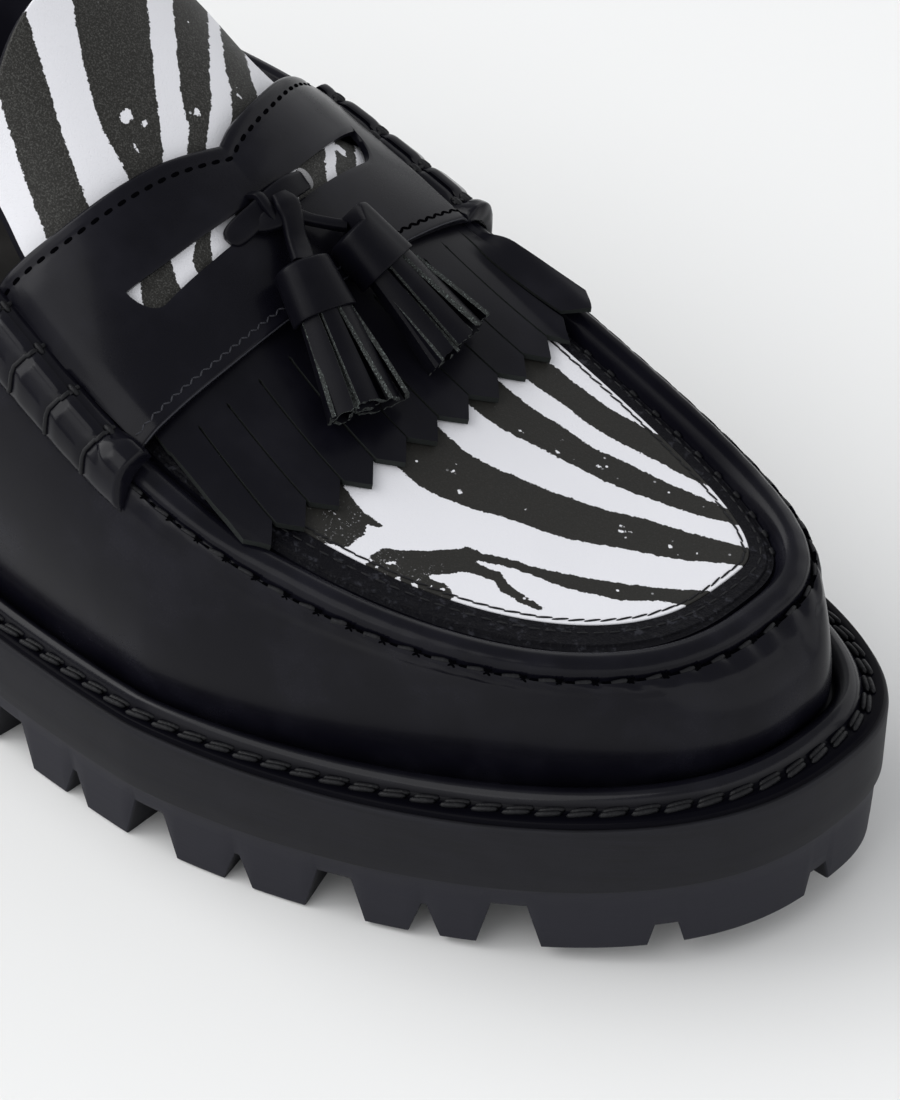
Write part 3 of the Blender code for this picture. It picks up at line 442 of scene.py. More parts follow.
def cover(x, y):
    """Surface that overlays follow: the apron with a ramp over the raised roll at each side."""
    x, y = np.broadcast_arrays(np.asarray(x, float), np.asarray(y, float))
    w = apron_share(x, y)
    ramp = RAMP * ease((x - RAMP_START) / RAMP_LENGTH) * ease((w - RAMP_FROM) / RAMP_RUN)
    return np.stack([x, y, apron_height(x, y) + ramp], -1)


def cover_normal(x, y):
    """Unit normal of the cover: cross product of its slopes over 1 mm each way."""
    return unit(np.cross(cover(x + 0.5, y) - cover(x - 0.5, y), cover(x, y + 0.5) - cover(x, y - 0.5)))


def over(x, y, offset):
    """A point over the apron: the height field moved out along its own normal."""
    x, y, offset = np.broadcast_arrays(*(np.asarray(v, float) for v in (x, y, offset)))
    return cover(x, y) + cover_normal(x, y) * offset[..., None]


# Meshes from arrays


def quads(rows, columns, wrap_columns=False, wrap_rows=False):
    """Corner numbers of the quads of a grid, joined round where asked."""
    r = np.arange(rows if wrap_rows else rows - 1)[:, None]
    c = np.arange(columns if wrap_columns else columns - 1)[None, :]
    r2, c2 = (r + 1) % rows, (c + 1) % columns
    corners = (r * columns + c, r * columns + c2, r2 * columns + c2, r2 * columns + c)
    return np.stack(np.broadcast_arrays(*corners), -1).reshape(-1, 4)


class Patches:
    """Grids gathered into one mesh: points, quads, a material number for each quad and a value for each point."""

    def __init__(self):
        """Starts without a point."""
        self.points, self.faces, self.looks, self.values, self.count = [], [], [], [], 0

    def add(self, points, faces, look=0, value=None):
        """Takes in points and the faces between them, counted on from those already held."""
        points = np.asarray(points, float).reshape(-1, 3)
        self.points.append(points)
        self.faces.append(np.asarray(faces) + self.count)
        self.looks.append(np.full(len(faces), look))
        self.values.append(np.zeros(len(points)) if value is None else np.asarray(value, float).reshape(-1))
        self.count += len(points)
        return self

    def grid(self, points, look=0, value=None, wrap_columns=False, wrap_rows=False, flip=False):
        """Takes in a grid of points as quads, joined round or turned over where asked."""
        faces = quads(*points.shape[:2], wrap_columns, wrap_rows)
        return self.add(points, faces[:, ::-1] if flip else faces, look, value)

    def slab(self, top, bottom, look=0, side_look=0):
        """A closed sheet between two grids: top, bottom and a wall along each of the four borders."""
        self.grid(top, look).grid(bottom, look, flip=True)
        first, last, start, end = np.s_[0, :], np.s_[-1, :], np.s_[:, 0], np.s_[:, -1]
        for border, flip in ((first, False), (last, True), (start, True), (end, False)):
            self.grid(np.stack([top[border], bottom[border]]), side_look, flip=flip)
        return self

    def build(self, name, looks, slot, node=None, sharp=70.0, merge=0.004, attribute=None):
        """Makes the object, welds doubles, points its faces outwards and lets it ride on the shoe."""
        points = np.concatenate(self.points) * MM
        faces = np.concatenate(self.faces)
        mesh = bpy.data.meshes.new(name)
        mesh.vertices.add(len(points))
        mesh.vertices.foreach_set("co", points.astype(np.float32).reshape(-1))
        mesh.loops.add(faces.size)
        mesh.loops.foreach_set("vertex_index", faces.astype(np.int32).reshape(-1))
        mesh.polygons.add(len(faces))
        mesh.polygons.foreach_set("loop_start", np.arange(0, faces.size, 4, dtype=np.int32))
        mesh.polygons.foreach_set("material_index", np.concatenate(self.looks).astype(np.int32))
        if attribute:
            held = mesh.attributes.new(attribute, "FLOAT", "POINT")
            held.data.foreach_set("value", np.concatenate(self.values).astype(np.float32))
        mesh.update(calc_edges=True)
        work = bmesh.new()
        work.from_mesh(mesh)
        bmesh.ops.remove_doubles(work, verts=work.verts, dist=merge * MM)
        bmesh.ops.dissolve_degenerate(work, edges=work.edges, dist=0.5 * merge * MM)
        bmesh.ops.recalc_face_normals(work, faces=work.faces)
        work.to_mesh(mesh)
        work.free()
        mesh.polygons.foreach_set("use_smooth", np.ones(len(mesh.polygons), bool))
        mesh.set_sharp_from_angle(angle=math.radians(sharp))
        mesh.validate()
        made = bpy.data.objects.new(name, mesh)
        bpy.context.scene.collection.objects.link(made)
        for look in looks:
            mesh.materials.append(look)
        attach(made, "root")
        if node:
            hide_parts(node)
        return made


def tube(path, side, up, half_wide, half_high, around=12, power=1.0):
    """A rounded section carried along a path: superellipse in the side and up directions, ends drawn to a point."""
    turn = np.linspace(0, 2 * math.pi, around, endpoint=False)
    c, s = np.cos(turn), np.sin(turn)
    c, s = np.sign(c) * np.abs(c) ** power, np.sign(s) * np.abs(s) ** power
    wide = np.broadcast_to(half_wide, path.shape[:-1])[..., None, None]
    high = np.broadcast_to(half_high, path.shape[:-1])[..., None, None]
    body = path[:, None] + side[:, None] * (c[:, None] * wide) + up[:, None] * (s[:, None] * high)
    first, last = np.repeat(path[:1, None], around, 1), np.repeat(path[-1:, None], around, 1)
    return np.concatenate([first, body, last])


def frames_along(path, up_hint):
    """Unit side and up along a path: cross products of its tangent with an up hint, up close to the hint."""
    along = unit(np.gradient(path, axis=0))
    side = unit(np.cross(np.broadcast_to(up_hint, path.shape), along))
    return side, np.cross(along, side)


def spaced(path, pitch, closed=False):
    """Places at an even pitch along a polyline, with their unit tangents."""
    if closed:
        path = np.concatenate([path, path[:1]])
    reach = np.concatenate([[0], np.cumsum(np.linalg.norm(np.diff(path, axis=0), axis=1))])
    count = max(2, round(reach[-1] / pitch))
    at = (np.arange(count) + 0.5) * reach[-1] / count
    place = np.stack([np.interp(at, reach, path[:, i]) for i in range(3)], -1)
    step = 0.3 * reach[-1] / count
    ahead = np.stack([np.interp(at + step, reach, path[:, i]) for i in range(3)], -1)
    behind = np.stack([np.interp(at - step, reach, path[:, i]) for i in range(3)], -1)
    return place, unit(ahead - behind)


def stitch_grid(place, along, up, length, width, height, blunt=4):
    """Many stitches at once: each a thread lying along the seam, swelling by the root of 1 less a power of t."""
    around, sections = 8, 6
    t = np.sin(np.linspace(-1, 1, sections) * math.pi / 2)
    swell = np.clip(1 - t ** blunt, 0.02, 1) ** 0.5
    turn = np.linspace(0, 2 * math.pi, around, endpoint=False)
    side = unit(np.cross(up, along))
    up = np.cross(along, side)
    length, width, height = (np.broadcast_to(v, len(place))[:, None, None, None] for v in (length, width, height))
    lie = along[:, None, None] * (t[:, None, None] * length / 2)
    ring_side = side[:, None, None] * ((swell[:, None] * np.cos(turn))[..., None] * width / 2)
    ring_up = up[:, None, None] * ((swell[:, None] * np.sin(turn))[..., None] * height / 2)
    points = place[:, None, None] + lie + ring_side + ring_up
    one = quads(sections, around, wrap_columns=True)
    ends = np.array([[0, 7, 6, 1], [1, 6, 5, 2], [2, 5, 4, 3]])
    one = np.concatenate([one, ends, (ends + (sections - 1) * around)[:, ::-1]])
    faces = one[None] + (np.arange(len(place)) * sections * around)[:, None, None]
    return points.reshape(-1, 3), faces.reshape(-1, 4)


# Print


def stripe_field(x, y, stripes, islands=()):
    """Signed distance, in millimetres, to the nearest stripe edge: above 0 inside a stripe. Each stripe is a band
    about a smooth curve of the length, cut at its ends; islands are ovals taken out of it."""
    field = np.full(np.shape(x), -9.0)
    for stripe in stripes:
        rows = np.array(stripe, float)
        middle, half = through(x, rows[:, (0, 1)]), through(x, rows[:, (0, 2)])
        slope = (np.gradient(rows[:, 1]) / np.gradient(rows[:, 0])).mean()
        inside = (half - np.abs(y - middle)) / math.hypot(1, slope)
        ends = np.minimum(x - rows[0, 0], rows[-1, 0] - x)
        field = np.maximum(field, np.minimum(inside, ends))
    for cx, cy, half_long, half_wide in islands:
        oval = (np.hypot((x - cx) / half_long, (y - cy) / half_wide) - 1) * min(half_long, half_wide)
        field = np.minimum(field, oval)
    return field


# Materials


class Wire:
    """A value in a node tree: an expression on it adds the Math nodes."""

    def __init__(self, look, socket):
        """Holds the material that the value belongs to and its socket."""
        self.look, self.socket = look, socket

    def _math(self, operation, *others):
        """A Math node with this value first."""
        return self.look.add("ShaderNodeMath", {"operation": operation}, [self, *others])

    def __add__(self, other):
        """Sum."""
        return self._math("ADD", other)

    def __sub__(self, other):
        """This value less another."""
        return self._math("SUBTRACT", other)

    def __mul__(self, other):
        """Product."""
        return self._math("MULTIPLY", other)

    def __rsub__(self, other):
        """Another less this value."""
        return self.look.add("ShaderNodeMath", {"operation": "SUBTRACT"}, [other, self])

    __radd__, __rmul__ = __add__, __mul__

    def between(self, low, high):
        """0 below low, 1 above high, smooth between."""
        inputs = {"Value": self, "From Min": low, "From Max": high}
        return self.look.add("ShaderNodeMapRange", {"interpolation_type": "SMOOTHSTEP"}, inputs, "Result")

    def above(self, edge):
        """1 above the edge, 0 below it."""
        return self._math("GREATER_THAN", edge)


class Look:
    """A Principled material with its nodes added by expressions."""

    def __init__(self, name, colour, roughness, **fixed):
        """A new material with its colour, its roughness and the values of other sockets."""
        self.material = bpy.data.materials.new(name)
        self.material.use_nodes = True
        self.tree = self.material.node_tree
        self.shader = self.tree.nodes["Principled BSDF"]
        self.set(**{"Base Color": (*colour, 1.0), "Roughness": roughness}, **fixed)
        self.material.diffuse_color = (*colour, 1.0)

    def add(self, kind, settings=None, inputs=None, out=0):
        """A node of this type with its settings, then the values or links of its sockets; gives one output."""
        node = self.tree.nodes.new(kind)
        for key, value in (settings or {}).items():
            setattr(node, key, value)
        pairs = inputs.items() if isinstance(inputs, dict) else enumerate(inputs or [])
        for key, value in pairs:
            if isinstance(value, Wire):
                self.tree.links.new(value.socket, node.inputs[key])
            else:
                node.inputs[key].default_value = value
        return Wire(self, node.outputs[out])

    def set(self, **inputs):
        """Values or links for sockets of the Principled shader."""
        for key, value in inputs.items():
            if isinstance(value, Wire):
                self.tree.links.new(value.socket, self.shader.inputs[key])
            else:
                self.shader.inputs[key].default_value = value
        return self

    def place(self, stretch=None):
        """Object coordinates, scaled along each axis where a stretch is given."""
        spot = self.add("ShaderNodeTexCoord", out="Object")
        return self.add("ShaderNodeMapping", {}, {"Vector": spot, "Scale": stretch}) if stretch else spot

    def held(self, attribute):
        """A value held at each point of the mesh."""
        return self.add("ShaderNodeAttribute", {"attribute_name": attribute}, out="Fac")

    def noise(self, size_mm, detail=3.0, rough=0.55, stretch=None):
        """Noise with features of this size, 0 to 1."""
        inputs = {"Vector": self.place(stretch), "Scale": 1 / (size_mm * MM), "Detail": detail, "Roughness": rough}
        return self.add("ShaderNodeTexNoise", {}, inputs, "Fac")

    def cells(self, size_mm, out="Distance"):
        """Cells of this size: distance to the nearest middle, or a colour for each cell."""
        return self.add("ShaderNodeTexVoronoi", {}, {"Vector": self.place(), "Scale": 1 / (size_mm * MM)}, out)

    def blend(self, share, a, b):
        """Colour a where the share is 0, b where it is 1."""
        a, b = (value if isinstance(value, Wire) else (*value, 1.0) for value in (a, b))
        factor, first, second, result = 0, 6, 7, 2
        return self.add("ShaderNodeMix", {"data_type": "RGBA"}, {factor: share, first: a, second: b}, result)

    def mix_painted_shade(self, share, colour):
        """Mixes in painted shade, a darker shader without gloss, by a share of 0 to 1."""
        inputs = {"Base Color": (*colour, 1.0), "Roughness": 1.0, "Specular IOR Level": 0.0}
        painted_shade = self.add("ShaderNodeBsdfPrincipled", {}, inputs)
        both = self.add("ShaderNodeMixShader", {}, [share, Wire(self, self.shader.outputs[0]), painted_shade])
        self.tree.links.new(both.socket, self.tree.nodes["Material Output"].inputs["Surface"])
        return self

    def bump(self, height, depth_mm, strength=1.0):
        """Sets the normal from a height of 0 to 1 that stands for this depth."""
        inputs = {"Height": height, "Distance": depth_mm * MM, "Strength": strength}
        return self.set(Normal=self.add("ShaderNodeBump", {}, inputs))


def shade(colour, share):
    """A colour with each part times a share."""
    return tuple(part * share for part in colour)


def leather(name, colour, roughness, coat, grain_mm, grain_deep, cloud, shine=0.105):
    """Polished leather: soft clouds in colour and gloss, fine pores in the bump."""
    gloss = {"Coat Weight": coat, "Coat Roughness": 0.12, "Specular IOR Level": shine}
    look = Look(name, colour, roughness, **gloss)
    clouds = look.noise(14.0, 3.0)
    fine = look.noise(grain_mm, 4.0, 0.6)
    pores = look.cells(grain_mm * 1.3).between(0.0, 0.45)
    paler = tuple(min(1.0, c * (1 + 1.2 * cloud) + 0.002) for c in colour)
    look.set(**{"Base Color": look.blend(clouds.between(0.4, 0.75), colour, paler)})
    look.set(Roughness=clouds * (0.16 * cloud) + fine * 0.06 + (roughness - 0.08))
    return look.bump(fine * 0.5 + pores * 0.5, grain_deep, 0.8)


def make_looks(colours):
    """Every material of the shoe and of the stage, by name."""
    black = tuple(colours.leather)
    looks = {name: leather(name + "_leather", shade(black, share), *finish)
             for name, (share, *finish) in LEATHERS.items()}
    vamp, welt, band = looks["vamp"], looks["welt"], looks["band"]
    # Painted shade: a darker shader without gloss is mixed into the inner side of the vamp's roll and into the welt's
    # stitch channel
    vamp.mix_painted_shade(vamp.held("painted_shade") * 0.75, shade(black, 0.9))
    welt.mix_painted_shade(welt.held("channel") * 0.85, shade(black, 0.6))
    rough = band.noise(1.6, 4.0, 0.7)
    worn = shade(colours.thread, 4.0)
    band.set(**{"Base Color": band.blend(rough.between(0.54, 0.68), shade(black, 0.7), worn)})
    band.bump(rough, 0.5)

    raw = Look("cut_edge", tuple(colours.cut_edge), 0.9)
    fibres = raw.noise(0.35, 4.0, 0.7)
    specks = raw.noise(0.3, 3.0, 0.8).between(0.54, 0.66)
    dull = raw.blend(fibres.between(0.3, 0.7), shade(colours.cut_edge, 0.2), shade(colours.cut_edge, 1.4))
    raw.set(**{"Base Color": raw.blend(specks, dull, shade(colours.cut_edge, 8.0))})
    looks["cut"] = raw.bump(fibres, 0.25)
    # Walls of the fringe's slits: the raw edge's colour, kept pale as a painted highlight for the light the cut edges
    # catch
    edge = Look("fringe_cut_edge_and_painted_highlight", shade(colours.cut_edge, 0.75), 0.85, **{"Specular IOR Level": 0.2})
    looks["fringe_cut_edge_and_painted_highlight"] = edge.bump(edge.noise(0.3, 3.0, 0.7), 0.15)
    pale = Look("thong_cut_end", (0.17, 0.17, 0.175), 0.95)
    looks["pale_cut"] = pale.bump(pale.noise(0.3, 4.0, 0.7), 0.15)

    thread = Look("waxed_thread", tuple(colours.thread), 0.5, **{"Specular IOR Level": 0.2})
    twist = thread.noise(0.5, 2.0)
    thread.set(Roughness=twist * 0.25 + 0.4)
    looks["thread"] = thread.bump(twist, 0.12)

    # Thread 4.6 times paler: the strap's front stitches, and a painted highlight on the strap's front edge line
    worn = Look("paler_thread_and_painted_highlight", shade(colours.thread, 4.6), 0.6, **{"Specular IOR Level": 0.2})
    looks["paler_thread_and_painted_highlight"] = worn.bump(worn.noise(0.4, 2.0), 0.12)

    # Near-black without gloss: painted shade in stitch holes and seam gaps
    hole = Look("stitch_hole_painted_shade", (0.0010, 0.0010, 0.0014), 1.0, **{"Specular IOR Level": 0.0})
    looks["hole"] = hole.bump(hole.noise(0.4, 2.0), 0.05)

    rubber = Look("sole_rubber", tuple(colours.rubber), 0.62, **{"Specular IOR Level": 0.2})
    brushed = rubber.noise(1.0, 4.0, 0.65, (0.06, 0.06, 1.6))
    mottle = rubber.noise(9.0, 3.0)
    darker, lighter = (shade(colours.rubber, k) for k in (0.75, 1.35))
    upper = rubber.blend((brushed * 0.7 + mottle * 0.3).between(0.3, 0.7), darker, lighter)
    # Painted light: the lug band below the step is painted up to 2.6 times paler, standing for the lighter reflection
    # it shows
    lower = rubber.held("lower") * (brushed * 0.4 + 0.6)
    rubber.set(**{"Base Color": rubber.blend(lower, upper, shade(colours.rubber, 2.6))})
    rubber.set(Roughness=brushed * 0.15 + 0.54)
    looks["rubber"] = rubber.bump(brushed * 0.6 + rubber.noise(0.25, 2.0) * 0.4, 0.05, 0.8)

    ground = tuple(colours.print_white)
    for name, scale in (("apron_print", 1.0), ("tongue_print", 2.2)):
        printed = Look(name, ground, 0.42, **{"Specular IOR Level": 0.2})
        field = printed.held("print")
        ragged = (printed.noise(1.5, 4.0, 0.65) - 0.5) * 1.2 + (printed.noise(0.45, 2.0) - 0.5) * 0.5
        dark = (field + ragged).between(-0.06, 0.06)
        specks = printed.cells(1.5, out="Color")
        chance = printed.add("ShaderNodeSeparateColor", {}, [specks])
        clump = printed.noise(9.0, 2.0).between(0.55, 0.62)
        fleck = (1 - printed.cells(1.5).between(0.14, 0.2)) * chance.above(0.80) * clump
        # Worn patch in front of the strap on the outer side
        spot = printed.add("ShaderNodeSeparateXYZ", {}, [printed.place()], "Y")
        reach = printed.add("ShaderNodeSeparateXYZ", {}, [printed.place()], "X")
        patch = (1 - reach.between(0.090, 0.093)) * reach.between(0.054, 0.058)
        patch = (1 - spot.between(-0.020, -0.0165)) * patch
        dust = printed.noise(0.6, 3.0, 0.75).between(0.60, 0.67) * printed.noise(3.0, 2.0).between(0.42, 0.6)
        dark = dark * (1 - fleck) * (1 - dust * patch * 0.45)
        grain = printed.cells(0.42).between(0.1, 0.5)
        worn = printed.noise(0.3, 3.0, 0.7).between(0.45, 0.75)
        ink = printed.blend(worn * (0.3 * scale - 0.24), tuple(colours.print_dark), (0.16, 0.16, 0.15))
        white = printed.blend(printed.noise(20.0, 2.0), ground, shade(ground, 0.93))
        printed.set(**{"Base Color": printed.blend(dark, white, ink)})
        printed.set(Roughness=dark * 0.12 + grain * 0.08 + 0.4)
        looks[name] = printed.bump(grain * 0.6 + printed.noise(0.5, 3.0) * 0.4, 0.022 * scale, 0.8)

    looks["sock"] = leather("sock_leather", (0.02, 0.019, 0.018), 0.55, 0.0, 0.6, 0.03, 0.5)
    tone = tuple(colours.floor)
    floor = Look("studio_floor", tone, 0.9, **{"Specular IOR Level": 0.1})
    floor.set(**{"Base Color": floor.blend(floor.noise(300.0, 1.0), tone, shade(tone, 0.99))})
    looks["floor"] = floor
    return {name: look.material for name, look in looks.items()}


LOOKS = {}


# Properties


def length(name, description, default, low, high):
    """A size given in millimetres and held in metres, as lengths are in the file."""
    limits = {"default": default * MM, "min": low * MM, "max": high * MM}
    return bpy.props.FloatProperty(name=name, description=description, unit="LENGTH", precision=4, **limits)


def tint(name, description, default):
    """A linear colour of three parts."""
    kind = {"subtype": "COLOR", "size": 3, "min": 0, "max": 1}
    return bpy.props.FloatVectorProperty(name=name, description=description, default=default, **kind)


class LoaferSizes(bpy.types.PropertyGroup):
    """Sizes that a maker would change."""

    seam_pitch: length("Seam pitch", "Stitch length of the hand-sewn seam", 5.8, 3.0, 9.0)
    welt_pitch: length("Welt pitch", "Stitch length along the welt", 5.2, 3.0, 9.0)
    fine_pitch: length("Fine pitch", "Stitch length along the strap and the print", 2.6, 1.5, 5.0)
    strap_thick: length("Strap thickness", "Leather of the strap", 1.4, 1.0, 3.0)
    fringe_thick: length("Fringe thickness", "Leather of the fringe", 1.2, 0.8, 2.5)


class LoaferColours(bpy.types.PropertyGroup):
    """Colours of the finishes."""

    leather: tint("Leather", "Polished black leather", (0.0026, 0.0025, 0.0046))
    rubber: tint("Rubber", "Moulded sole", (0.0056, 0.0056, 0.0080))
    thread: tint("Thread", "Waxed thread", (0.0044, 0.0045, 0.0057))
    cut_edge: tint("Cut edge", "Raw edge of the leather", (0.018, 0.021, 0.020))
    print_white: tint("Print white", "Ground of the zebra print", (0.66, 0.66, 0.69))
    print_dark: tint("Print dark", "Stripes of the zebra print", (0.0125, 0.012, 0.0105))
    floor: tint("Floor", "Pale studio floor", (0.755, 0.755, 0.75))


# Pieces


class LOAFER_OT_outsole(bpy.types.Operator):
    """Lugged rubber unit with its step, notches, arch, tread fields and bars"""

    bl_idname = "loafer.outsole"
    bl_label = "Outsole"

    def execute(self, context):
        """Loops of the rim moved in and up: tread, lugs notched by their arc, step, band, top; then the bars."""
        fine = np.arange(0, TURN, 0.02)
        edge = inset_ring("rim", fine, LUG_INSET)
        steps = np.linalg.norm(np.diff(np.concatenate([edge, edge[:1]]), axis=0), axis=1)
        reach = np.concatenate([[0], np.cumsum(steps)])
        around, tip = reach[-1], np.interp(TIP, fine, reach[:-1])
        notches = [(tip - TOE_LUG_ARC + side * arc, *NOTCH_KINDS[kind])
                   for arc, kind in FOREFOOT_NOTCHES for side in (-1, 1)]
        notches += [(side * arc, *NOTCH_KINDS[kind])
                    for arc, kind in HEEL_NOTCHES for side in ((-1, 1) if arc else (1,))]
        middle, low, high, tall = np.array(notches).T
        corners = np.concatenate([middle + k * half for half in (low / 2, high / 2) for k in (-1, 1)]) % around
        breaks = np.interp(corners, reach, np.append(fine, TURN))
        lengths = [x for x, _ in ARCH] + [x + d for ends in FIELDS for x in ends for d in (-0.2, 0.2)]
        half = np.arange(0, TIP, 0.02)
        places = np.interp([x for x in lengths if -120 < x < 100], station_x("rim", half), half)
        s = np.unique(np.round(np.concatenate([np.arange(0, TURN, 1 / 8), breaks, places, TURN - places]), 4))
        arc = np.interp(s, np.append(fine, TURN), reach)

        away = np.abs((arc[:, None] - middle + around / 2) % around - around / 2)
        notch = (tall * np.clip((low / 2 - away) / ((low - high) / 2), 0, 1)).max(1)
        rim_x = ring("rim", s)[:, 0]
        xs, zs = np.array(ARCH).T
        lug = spring(rim_x) + np.maximum(notch, np.clip(np.interp(rim_x, xs, zs, 0, 0), 0, None))
        step, top = sole_top(rim_x) - STEP_DROP, sole_top(rim_x)

        def loop(distance, z):
            """The rim moved inwards, at a height."""
            return raise_to(inset_ring("rim", s, distance), z)

        # Up the side: lugs below the step, then the step and the band up to the rim
        under = [loop(d, lug) for d in TREAD_INSETS]
        lower = [loop(d, lug + h) for d, h in LUG_EDGE]
        for t in (0.25, 0.5, 0.75):
            lower.append(loop(LUG_INSET - LUG_SLOPE * t, lug + 0.5 + (step - 1.1 - lug) * t))
        beside = [loop(d, step + h) for d, h in STEP_EDGE]
        lower.append(beside[0])
        band = beside[1:]
        step_inset, step_high = STEP_EDGE[-1]
        for t in (0.33, 0.66):
            band.append(loop(step_inset * (1 - t), step + step_high + (top - 1.5 - step) * t))
        band += [loop(d, top + h) for d, h in RIM_EDGE]

        def inner(distance, z_of, shares):
            """Loops from a border towards the middle line by shares of the way, at a height by length."""
            border = inset_ring("rim", s, distance)
            x = np.clip(border[:, 0], -118, 102)
            spine = np.stack([x, centre_line("rim", x) - np.where(x > 0, 4.0, 0.0)], 1)
            rows = []
            for share in shares:
                xy = border + (spine - border) * share
                rows.append(raise_to(xy, z_of(xy[:, 0])))
            return rows

        def field(x):
            """Height of the tread: spring and arch, raised to the floor of the tread fields."""
            sunk = np.zeros_like(x)
            for start, end in FIELDS:
                sunk = np.where((x > start) & (x < end), FIELD_DEEP, sunk)
            return np.maximum(spring(x) + np.clip(np.interp(x, xs, zs, 0, 0), 0, None), sunk)

        tread = inner(FIELD_INSET + 0.3, field, (1.0, 0.66, 0.33, 0.0)) + under
        rows = tread + lower + band + inner(RIM_EDGE[-1][0], sole_top, (0.5, 1.0))
        # Share of painted light on the rubber: 1 on the rows of the lug band below the step
        below = np.zeros((len(rows), len(s)))
        below[len(tread):len(tread) + len(lower)] = 1.0
        patches = Patches().grid(np.array(rows), 0, below, wrap_columns=True)
        for x, width in BARS:
            y = float(centre_line("rim", x)) - (4.0 if x > 0 else 0.0)
            plan = np.array(BAR_PLAN) * (1, width / 2) + (x, y)
            centre, low = plan.mean(0), spring(x)
            section = ((0.0, BAR_TOP), (1.0, BAR_TOP), (1.0, low + 0.6), (0.95, low), (0.0, low))
            loops = [raise_to(centre + (plan - centre) * share, z) for share, z in section]
            patches.grid(np.array(loops), wrap_columns=True)
        patches.build("outsole_unit", [LOOKS["rubber"]], "sole_rubber", "outsole", sharp=32.0, attribute="lower")
        return {"FINISHED"}


class LOAFER_OT_welt(bpy.types.Operator):
    """Welt with its half-round ridge and the heavy stitches in its channel"""

    bl_idname = "loafer.welt"
    bl_label = "Welt"

    def execute(self, context):
        """The section carried round the rim by shares of the welt's width, then two strands at an even pitch."""
        s = np.arange(0, TURN, 1 / 8)
        rim_x = ring("rim", s)[:, 0]
        width, top = welt_width(rim_x), sole_top(rim_x)
        rows = [raise_to(inset_ring("rim", s, width * share), top + height) for share, height in WELT_SECTION]
        # Share of painted shade: 1 over the stitch channel, fading out past its end
        dull = 1.0 - ease((np.array(WELT_SECTION)[:, :1] - CHANNEL_END) / 0.08) + np.zeros(len(s))
        strip = Patches().grid(np.array(rows), 0, dull, wrap_columns=True, wrap_rows=True)
        strip.build("welt_strip", [LOOKS["welt"]], "welt_leather", "welt", sharp=50, attribute="channel")

        pitch = context.scene.loafer_sizes.welt_pitch / MM
        fine = np.arange(0, TURN, 1 / 16)
        x = ring("rim", fine)[:, 0]
        path = raise_to(inset_ring("rim", fine, welt_width(x) * CHANNEL + 0.1), sole_top(x) + 1.35)
        place, along = spaced(path, pitch, closed=True)
        up = np.tile([0.0, 0.0, 1.0], (len(place), 1))
        slant = unit(along + 0.15 * np.cross(up, along))
        uneven = np.random.default_rng(3).uniform(-1, 1, (len(place), 2))
        long, wide = pitch * 0.86 + 0.2 * uneven[:, 0], 1.05 + 0.1 * uneven[:, 1]
        patches = Patches()
        for strand in (-1, 1):
            spot = place + np.cross(up, along) * STRAND_APART * strand + along * 0.25 * strand
            patches.add(*stitch_grid(spot, slant, up, long, wide, 1.15, blunt=6))
        patches.build("welt_stitches", [LOOKS["thread"]], "welt_leather")
        return {"FINISHED"}


class LOAFER_OT_insole(bpy.types.Operator):
    """Sock and board inside the shoe"""

    bl_idname = "loafer.insole"
    bl_label = "Insole"

    def execute(self, context):
        """Loops from the border inside the welt towards the middle line, dished by a table."""
        s = np.arange(0, TURN, 1 / 6)
        border = inset_ring("rim", s, welt_width(ring("rim", s)[:, 0]) + INSOLE_INSET)
        x = np.clip(border[:, 0], -112, 100)
        spine = np.stack([x, centre_line("rim", x) - 2.0], 1)
        low = sole_top(border[:, 0]) + FEATHER_GAP

        def row(share, dish):
            """A loop of the sock by its share of the way from border to middle line."""
            xy = border + (spine - border) * share
            return raise_to(xy, sole_top(xy[:, 0]) + FEATHER_GAP + INSOLE_THICK + dish)

        rows = [raise_to(spine, sole_top(spine[:, 0]) + FEATHER_GAP), raise_to(border, low)]
        rows += [raise_to(border, low + INSOLE_THICK - 0.5)] + [row(*line) for line in SOCK_ROWS]
        sock = Patches().grid(np.array(rows), wrap_columns=True)
        sock.build("insole_sock", [LOOKS["sock"]], "insole_leather", "insole", sharp=50)
        return {"FINISHED"}


def seam_phase(s):
    """Place along the sewn seam counted in stitches from the toe tip, and the distance from the tip."""
    fine = np.arange(0, TURN + 0.01, 0.05)
    path = ring("top", fine)
    reach = np.concatenate([[0], np.cumsum(np.linalg.norm(np.diff(path, axis=0), axis=1))])
    arc = np.interp(s, fine, reach) - np.interp(TIP, fine, reach)
    return arc / (bpy.context.scene.loafer_sizes.seam_pitch / MM), arc


